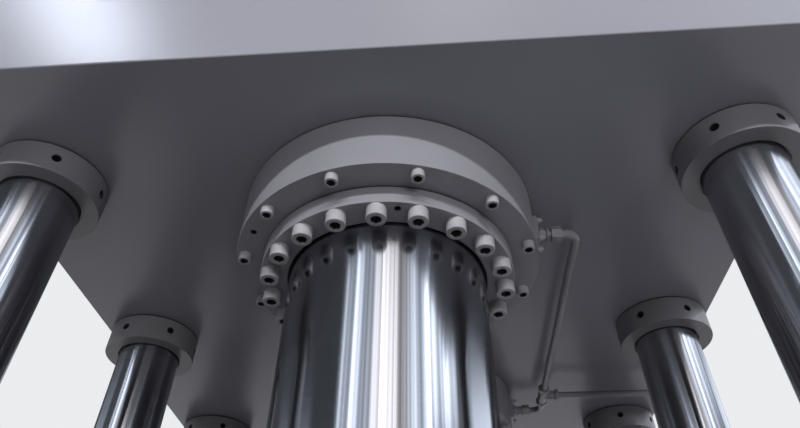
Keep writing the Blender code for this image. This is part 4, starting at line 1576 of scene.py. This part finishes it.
def weld_tree():
    tree, entry, leave = new_group(
        "Weld bead", "GeometryNodeTree",
        (
            ("Route", "NodeSocketObject", None),
            ("Bead Radius", "NodeSocketFloat", bead_radius),
            ("Ripple Length", "NodeSocketFloat", ripple_length),
            ("Ripple Share", "NodeSocketFloat", ripple_share),
            ("Finish", "NodeSocketMaterial", None),
        ),
        (("Bead", "NodeSocketGeometry"),),
    )
    route = node(tree, "GeometryNodeObjectInfo", {"Object": entry.outputs["Route"]})
    step = maths(tree, "DIVIDE", entry.outputs["Ripple Length"], steps_per_ripple)
    even = node(
        tree, "GeometryNodeResampleCurve",
        {"Curve": route.outputs["Geometry"], "Length": step}, mode="LENGTH",
    )
    along = node(tree, "GeometryNodeSplineParameter").outputs["Length"]
    ripples = maths(tree, "DIVIDE", along, entry.outputs["Ripple Length"])
    phase = maths(tree, "MULTIPLY", ripples, math.tau)
    wave = maths(tree, "MULTIPLY", maths(tree, "SINE", phase), entry.outputs["Ripple Share"])
    swell = node(
        tree, "GeometryNodeSetCurveRadius",
        {"Curve": even.outputs["Curve"], "Radius": maths(tree, "ADD", wave, 1.0)},
    )
    bead = swept(tree, swell.outputs["Curve"], entry.outputs["Bead Radius"], bead_sides)
    tree.links.new(finished(tree, bead, entry.outputs["Finish"]), leave.inputs["Bead"])
    return tree


def weld(paths):
    """One mesh of beads along closed paths of points."""
    values = {
        "Bead Radius": bead_radius, "Ripple Length": ripple_length, "Ripple Share": ripple_share,
        "Finish": machine_enamel,
    }
    return grown_along(weld_sweep, paths, values, closed=True)


def level_rectangle(low, high, height):
    return [(x, y, height) for x, y in ((low.x, low.y), (high.x, low.y), (high.x, high.y), (low.x, high.y))]


weld_sweep = weld_tree()
print("weld tree:", len(weld_sweep.nodes), "nodes")

# %% [markdown]
# ## The bed and the bolster
#
# The bed mirrors the crown: a welded box with windows through which the foot nuts are reached, shallow
# panels in its end plates, and a foot lip with holes for the anchor bolts. The bolster is a ground plate
# that takes the lower die.

# %% Bed
bed_low, bed_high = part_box("bed")
body_x, body_y = crown_high.x, crown_high.y
deck = bed_high.z
lip_height = 0.050
window_low, window_high = 0.150, 0.420
window_reach = 0.167
panel_depth, panel_band = 0.040, 0.110
bed_mesh = cut(
    block((-body_x, -body_y, 0.0), (body_x, body_y, deck), broad_edge),
    block(bed_low, (bed_high.x, bed_high.y, lip_height), broad_edge), operation="UNION",
)
windows = []
for corners in column_places.values():
    at = box_middle(*corners)
    side = math.copysign(1.0, at.x)
    xs = sorted((at.x - side * window_reach, side * (body_x + overrun)))
    windows.append(block((xs[0], at.y - window_reach, window_low), (xs[1], at.y + window_reach, window_high)))
panels = []
panel_width = body_x - panel_band
for end in (-1, 1):
    for side in (-1, 1):
        middle_x = side * panel_width / 2
        half = (panel_width - panel_band) / 2
        ys = sorted((end * (body_y - panel_depth), end * (body_y + overrun)))
        panels.append(block(
            (middle_x - half, ys[0], lip_height + panel_band), (middle_x + half, ys[1], deck - panel_band)
        ))
anchor_radius = 0.014
anchor_x = (bed_high.x + body_x) / 2
anchor_rows = (-2.6, -1, 1, 2.6)  # in half pitches of the columns
anchor_places = [(side * anchor_x, row * column_pitch / 2) for side in (-1, 1) for row in anchor_rows]
anchors = [
    bar(anchor_radius, (x, y, -overrun), (x, y, lip_height + overrun), drill_steps) for x, y in anchor_places
]
bed_mesh = cut(
    bed_mesh, column_holes(column_radius + hole_clearance, window_low, deck + overrun), joined(anchors),
    *windows, *panels,
)
hand_over("bed_body", bed_mesh, crown_enamel, "frame", "frame_paint", "bed")

# %% Beads of the bed and the crown
half_x, half_y = lug_thickness / 2, lug_width / 2
lug_paths = [
    level_rectangle(Vector((x - half_x, y - half_y)), Vector((x + half_x, y + half_y)), crown_top)
    for x in (-lug_x, lug_x) for y in (-lug_y, lug_y)
]
foot_path = [level_rectangle(Vector((-body_x, -body_y)), Vector((body_x, body_y)), lip_height)]
hand_over("lug_welds", weld(lug_paths), machine_enamel, "frame", "frame_paint")
hand_over("foot_welds", weld(foot_path), machine_enamel, "frame", "frame_paint")

# %% Bolster
bolster_low, bolster_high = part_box("bolster")
bolster_blank = in_finish(block(bolster_low, bolster_high, broad_edge), ground_steel)
bolster_mesh = tapped_face(bolster_blank, bolster_high.z)
hand_over("bolster_plate", bolster_mesh, None, "frame", "ground_steel", "bolster")

# %% [markdown]
# ## The studio
#
# A pale floor, and light that explains the forms. Towards its rim the floor fades into the plain backdrop,
# so that no horizon shows. It is pale for the camera and in a first mirror image. Rays that have bounced
# further find it dark, or its light would wash out the underside of the crown. A Light Path node tells
# these rays apart.

# %% Which ray it is
bounce_limit = 1.5


def ray_facts(tree):
    """What kind of ray this is, and how far it has bounced, a diffuse bounce counting twice."""
    path = node(tree, "ShaderNodeLightPath").outputs
    return path, maths(tree, "ADD", maths(tree, "MULTIPLY", path["Diffuse Depth"], 2.0), path["Glossy Depth"])


print("a ray counts as bounced above", bounce_limit)

# %% Floor
background = (0.83, 0.84, 0.86, 1.0)
pale_floor, floor_in_bounces = (0.80, 0.80, 0.81, 1.0), (0.16, 0.16, 0.165, 1.0)
floor_roughness = 0.6
floor_radius = 45.0
floor_gap = 0.0005
fade_start, fade_end = 4.0, 15.0
bm = bmesh.new()
bmesh.ops.create_circle(bm, cap_ends=True, segments=coarse_steps, radius=floor_radius)
floor = bpy.data.objects.new("floor", to_mesh(bm))
floor.data.transform(Matrix.Translation((0, 0, -floor_gap)))
floor_finish = bpy.data.materials.new("pale_floor")
floor_finish.use_nodes = True
floor_tree = floor_finish.node_tree
bounced = maths(floor_tree, "GREATER_THAN", ray_facts(floor_tree)[1], bounce_limit)
floor_shader = floor_tree.nodes["Principled BSDF"]
floor_tree.links.new(
    blend(floor_tree, bounced, pale_floor, floor_in_bounces), floor_shader.inputs["Base Color"]
)
floor_shader.inputs["Roughness"].default_value = floor_roughness
from_middle = node(
    floor_tree, "ShaderNodeVectorMath", {0: node(floor_tree, "ShaderNodeTexCoord").outputs["Object"]},
    operation="LENGTH",
).outputs["Value"]
faded = ramp(floor_tree, from_middle, fade_start, fade_end, 0.0, 1.0)
backdrop = node(floor_tree, "ShaderNodeEmission", {"Color": background, "Strength": 1.0})
blended = node(
    floor_tree, "ShaderNodeMixShader",
    {0: maths(floor_tree, "MULTIPLY", faded, maths(floor_tree, "SUBTRACT", 1.0, bounced)),
     1: floor_shader.outputs[0], 2: backdrop.outputs[0]},
)
floor_tree.links.new(blended.outputs[0], floor_tree.nodes["Material Output"].inputs["Surface"])
floor.data.materials.append(floor_finish)
bpy.context.scene.collection.objects.link(floor)
floor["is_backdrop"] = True
print("the floor fades between", fade_start, "and", fade_end, "m")

# %% [markdown]
# ## Four lamps
#
# A long low strip in front of the press throws the crown's shadow on the upper band of each flange. A small
# lamp far on the right does the same on the right-hand nuts; its beam is narrow, or it would burn the floor.
# A dim panel low in front lifts the faces that look down, and a broad one behind lights the rear. Lamps are
# hidden from glossy rays, because chrome would show each one as a hard block: what chrome mirrors comes
# from the world.

# %% Lamps
crown_front = Vector((0.0, crown_low.y, crown_low.z))
right_nut = Vector((0.9, -0.7, 2.65))
under_crown = Vector((0.0, -0.9, 2.6))
rear_middle = Vector((0.0, 0.5, 2.0))


def lamp(name, target, azimuth, elevation, distance, size, power, colour, beam=180.0):
    """A rectangular lamp seen from its target under an azimuth, from the front to the right, and a rise."""
    light = bpy.data.lights.new(name, "AREA")
    light.shape = "RECTANGLE"
    light.size, light.size_y = size
    light.energy = power
    light.color = colour
    light.spread = math.radians(beam)
    across, rise = math.radians(azimuth), math.radians(elevation)
    away = Vector((math.sin(across) * math.cos(rise), -math.cos(across) * math.cos(rise), math.sin(rise)))
    made = bpy.data.objects.new(name, light)
    turn = away.to_track_quat("Z", "Y").to_matrix().to_4x4()
    made.matrix_world = Matrix.Translation(target + away * distance) @ turn
    made.visible_camera = False
    made.visible_glossy = False
    bpy.context.scene.collection.objects.link(made)
    print(f"{name}: {power} W at {distance} m")


lamp(
    "front_strip", crown_front, azimuth=2.0, elevation=22.0, distance=16.0, size=(20.0, 0.55),
    power=2400.0, colour=(0.96, 0.96, 1.0),
)
lamp(
    "right_lamp", right_nut, azimuth=88.0, elevation=40.7, distance=10.0, size=(0.40, 0.40),
    power=18.0, colour=(0.97, 0.98, 1.0), beam=22.0,
)
lamp(
    "low_panel", under_crown, azimuth=24.0, elevation=-9.0, distance=6.0, size=(3.0, 1.0),
    power=85.0, colour=(0.97, 0.96, 1.0),
)
lamp(
    "rear_panel", rear_middle, azimuth=-165.0, elevation=56.0, distance=11.0, size=(5.0, 5.0),
    power=560.0, colour=(0.98, 0.98, 1.0),
)

# %% [markdown]
# ## The world
#
# Chrome shows nothing but its surroundings, so the surroundings are designed, for a first mirror image
# alone. In front stands a wall of soft light, with brighter tall panels in it, higher ones on its right and
# dark gaps between. Dim lights stand low on the right, on the left and behind, and one small bright window
# on the left gives the crown's edge its glare. A noise that runs only across the wall breaks it into fine
# upright streaks, and the middle is tinted a little warmer than the sides. The camera sees a plain pale
# backdrop, and all other rays a soft light from above.

# %% Panels of the world
tall_panels = (
    # azimuth of the middle, half width and softness in degrees, brightness
    (-37.5, 0.8, 0.8, 0.45),
    (-24.5, 4.0, 1.5, 0.50),
    (-27.0, 1.2, 0.8, 0.75),
    (4.0, 12.0, 1.5, 0.55),
    (-1.0, 1.5, 1.0, 0.25),
    (10.0, 1.5, 1.0, 0.20),
    (33.0, 4.0, 3.0, 0.40),
    (46.5, 3.5, 1.5, 0.70),
)
high_panels = (
    # the same, for the panels that hang higher
    (58.0, 13.0, 1.5, 0.75),
    (52.5, 2.0, 1.0, 0.40),
    (66.0, 2.0, 1.0, 0.50),
    (82.0, 13.0, 3.0, 0.60),
)
wall_span, wall_softness, wall_glow = (-41.0, 50.0), 1.5, 0.26
low_panels = (
    # the same, then the rises in degrees at which the light begins and is full
    (118.0, 22.0, 3.0, 1.3, 31.0, 23.0),
    (-88.0, 22.0, 4.0, 0.8, 24.0, 16.0),
)

# of a ramp: where it starts and ends, and its values there
high_panel_feet = (19.0, 27.0, 0.0, 1.0)
wall_by_rise = (28.0, 48.0, 2.2, 1.1)
streak_scale, streaks = 0.28, (0.30, 0.70, 0.42, 1.58)
rear_side, rear_rises = (0.80, 0.92, 0.0, 0.7), (34.0, 24.0, 0.0, 1.0)
ground_glow, sky_glow = (18.0, 4.0, 0.07, 0.50), (62.0, 78.0, 0.0, 0.6)
soft_by_rise, soft_by_side = (-5.0, 25.0, 0.14, 0.45), (0.4, -0.4, 0.55, 1.05)

# of a band: its middle, half width, softness and brightness
window_across, window_up = (-48.0, 4.5, 2.5, 1.0), (51.0, 3.5, 2.0, 22.0)
warm_middle = (9.0, 17.0, 9.0, 1.0)
cool_tint, warm_tint = (0.90, 0.98, 1.13, 1.0), (1.02, 0.98, 1.01, 1.0)
soft_tint = (0.97, 0.97, 1.04)
print("panels:", len(tall_panels), "tall,", len(high_panels), "high,", len(low_panels), "low")

# %% World
def world_tree():
    world = bpy.data.worlds.new("studio")
    world.use_nodes = True
    world.cycles.sampling_method = "NONE"
    tree = world.node_tree
    tree.nodes.clear()
    outward = node(tree, "ShaderNodeTexCoord").outputs["Generated"]
    direction = node(tree, "ShaderNodeSeparateXYZ", {0: outward})
    x, y, z = (direction.outputs[axis] for axis in "XYZ")
    azimuth = maths(tree, "DEGREES", maths(tree, "ARCTAN2", x, maths(tree, "MULTIPLY", y, -1.0)))
    rise = maths(tree, "DEGREES", maths(tree, "ARCSINE", z))

    def fade(value, start, end, low=0.0, high=1.0):
        return ramp(tree, value, start, end, low, high)

    def band(angle, centre, half, soft, brightness):
        off = maths(tree, "ABSOLUTE", maths(tree, "SUBTRACT", angle, centre))
        return fade(off, half + soft, half - soft, 0.0, brightness)

    def product(first, second):
        return maths(tree, "MULTIPLY", first, second)

    def total(first, *parts):
        for part in parts:
            first = maths(tree, "ADD", first, part)
        return first

    wall_low, wall_high = wall_span
    wall = band(azimuth, (wall_low + wall_high) / 2, (wall_high - wall_low) / 2, wall_softness, wall_glow)
    wall = total(wall, *[band(azimuth, *panel) for panel in tall_panels])
    high = total(*[band(azimuth, *panel) for panel in high_panels])
    wall = total(wall, product(high, fade(rise, *high_panel_feet)))
    lines = node(
        tree, "ShaderNodeTexNoise", {"W": azimuth, "Scale": streak_scale, "Detail": 3.0, "Roughness": 0.6},
        noise_dimensions="1D",
    ).outputs["Fac"]
    wall = product(product(wall, fade(lines, *streaks)), fade(rise, *wall_by_rise))
    low_lights = [product(band(azimuth, *panel[:4]), fade(rise, *panel[4:])) for panel in low_panels]
    rear_light = product(fade(y, *rear_side), fade(rise, *rear_rises))
    window = product(band(azimuth, *window_across), band(rise, *window_up))
    glossy = total(fade(rise, *ground_glow), fade(rise, *sky_glow), wall, *low_lights, rear_light, window)
    tint = blend(tree, band(azimuth, *warm_middle), cool_tint, warm_tint)
    mirrored = scaled(tree, tint, glossy)
    overhead = scaled(tree, soft_tint, product(fade(rise, *soft_by_rise), fade(y, *soft_by_side)))
    path, depth = ray_facts(tree)
    in_mirror = product(path["Is Glossy Ray"], maths(tree, "LESS_THAN", depth, bounce_limit))
    light = blend(tree, in_mirror, overhead, mirrored)
    seen = blend(tree, path["Is Camera Ray"], light, background)
    surface = node(tree, "ShaderNodeBackground", {"Color": seen, "Strength": 1.0})
    output = tree.nodes.new("ShaderNodeOutputWorld")
    tree.links.new(surface.outputs[0], output.inputs["Surface"])
    return world


bpy.context.scene.world = world_tree()
bpy.context.scene.view_settings.view_transform = "Standard"
print("world:", len(bpy.context.scene.world.node_tree.nodes), "nodes")

# %% [markdown]
# ## Closing
#
# The box of the dressed press is set against that of the imported one, and how far each side has grown is
# printed. The dressed press must keep the size of the imported one.

# %% Sizes and finish
dressed_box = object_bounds()
growth = [round(abs(b - a) * 1000, 2) for pair in zip(model_box, dressed_box) for a, b in zip(*pair)]
print("grown by:", growth, "mm")
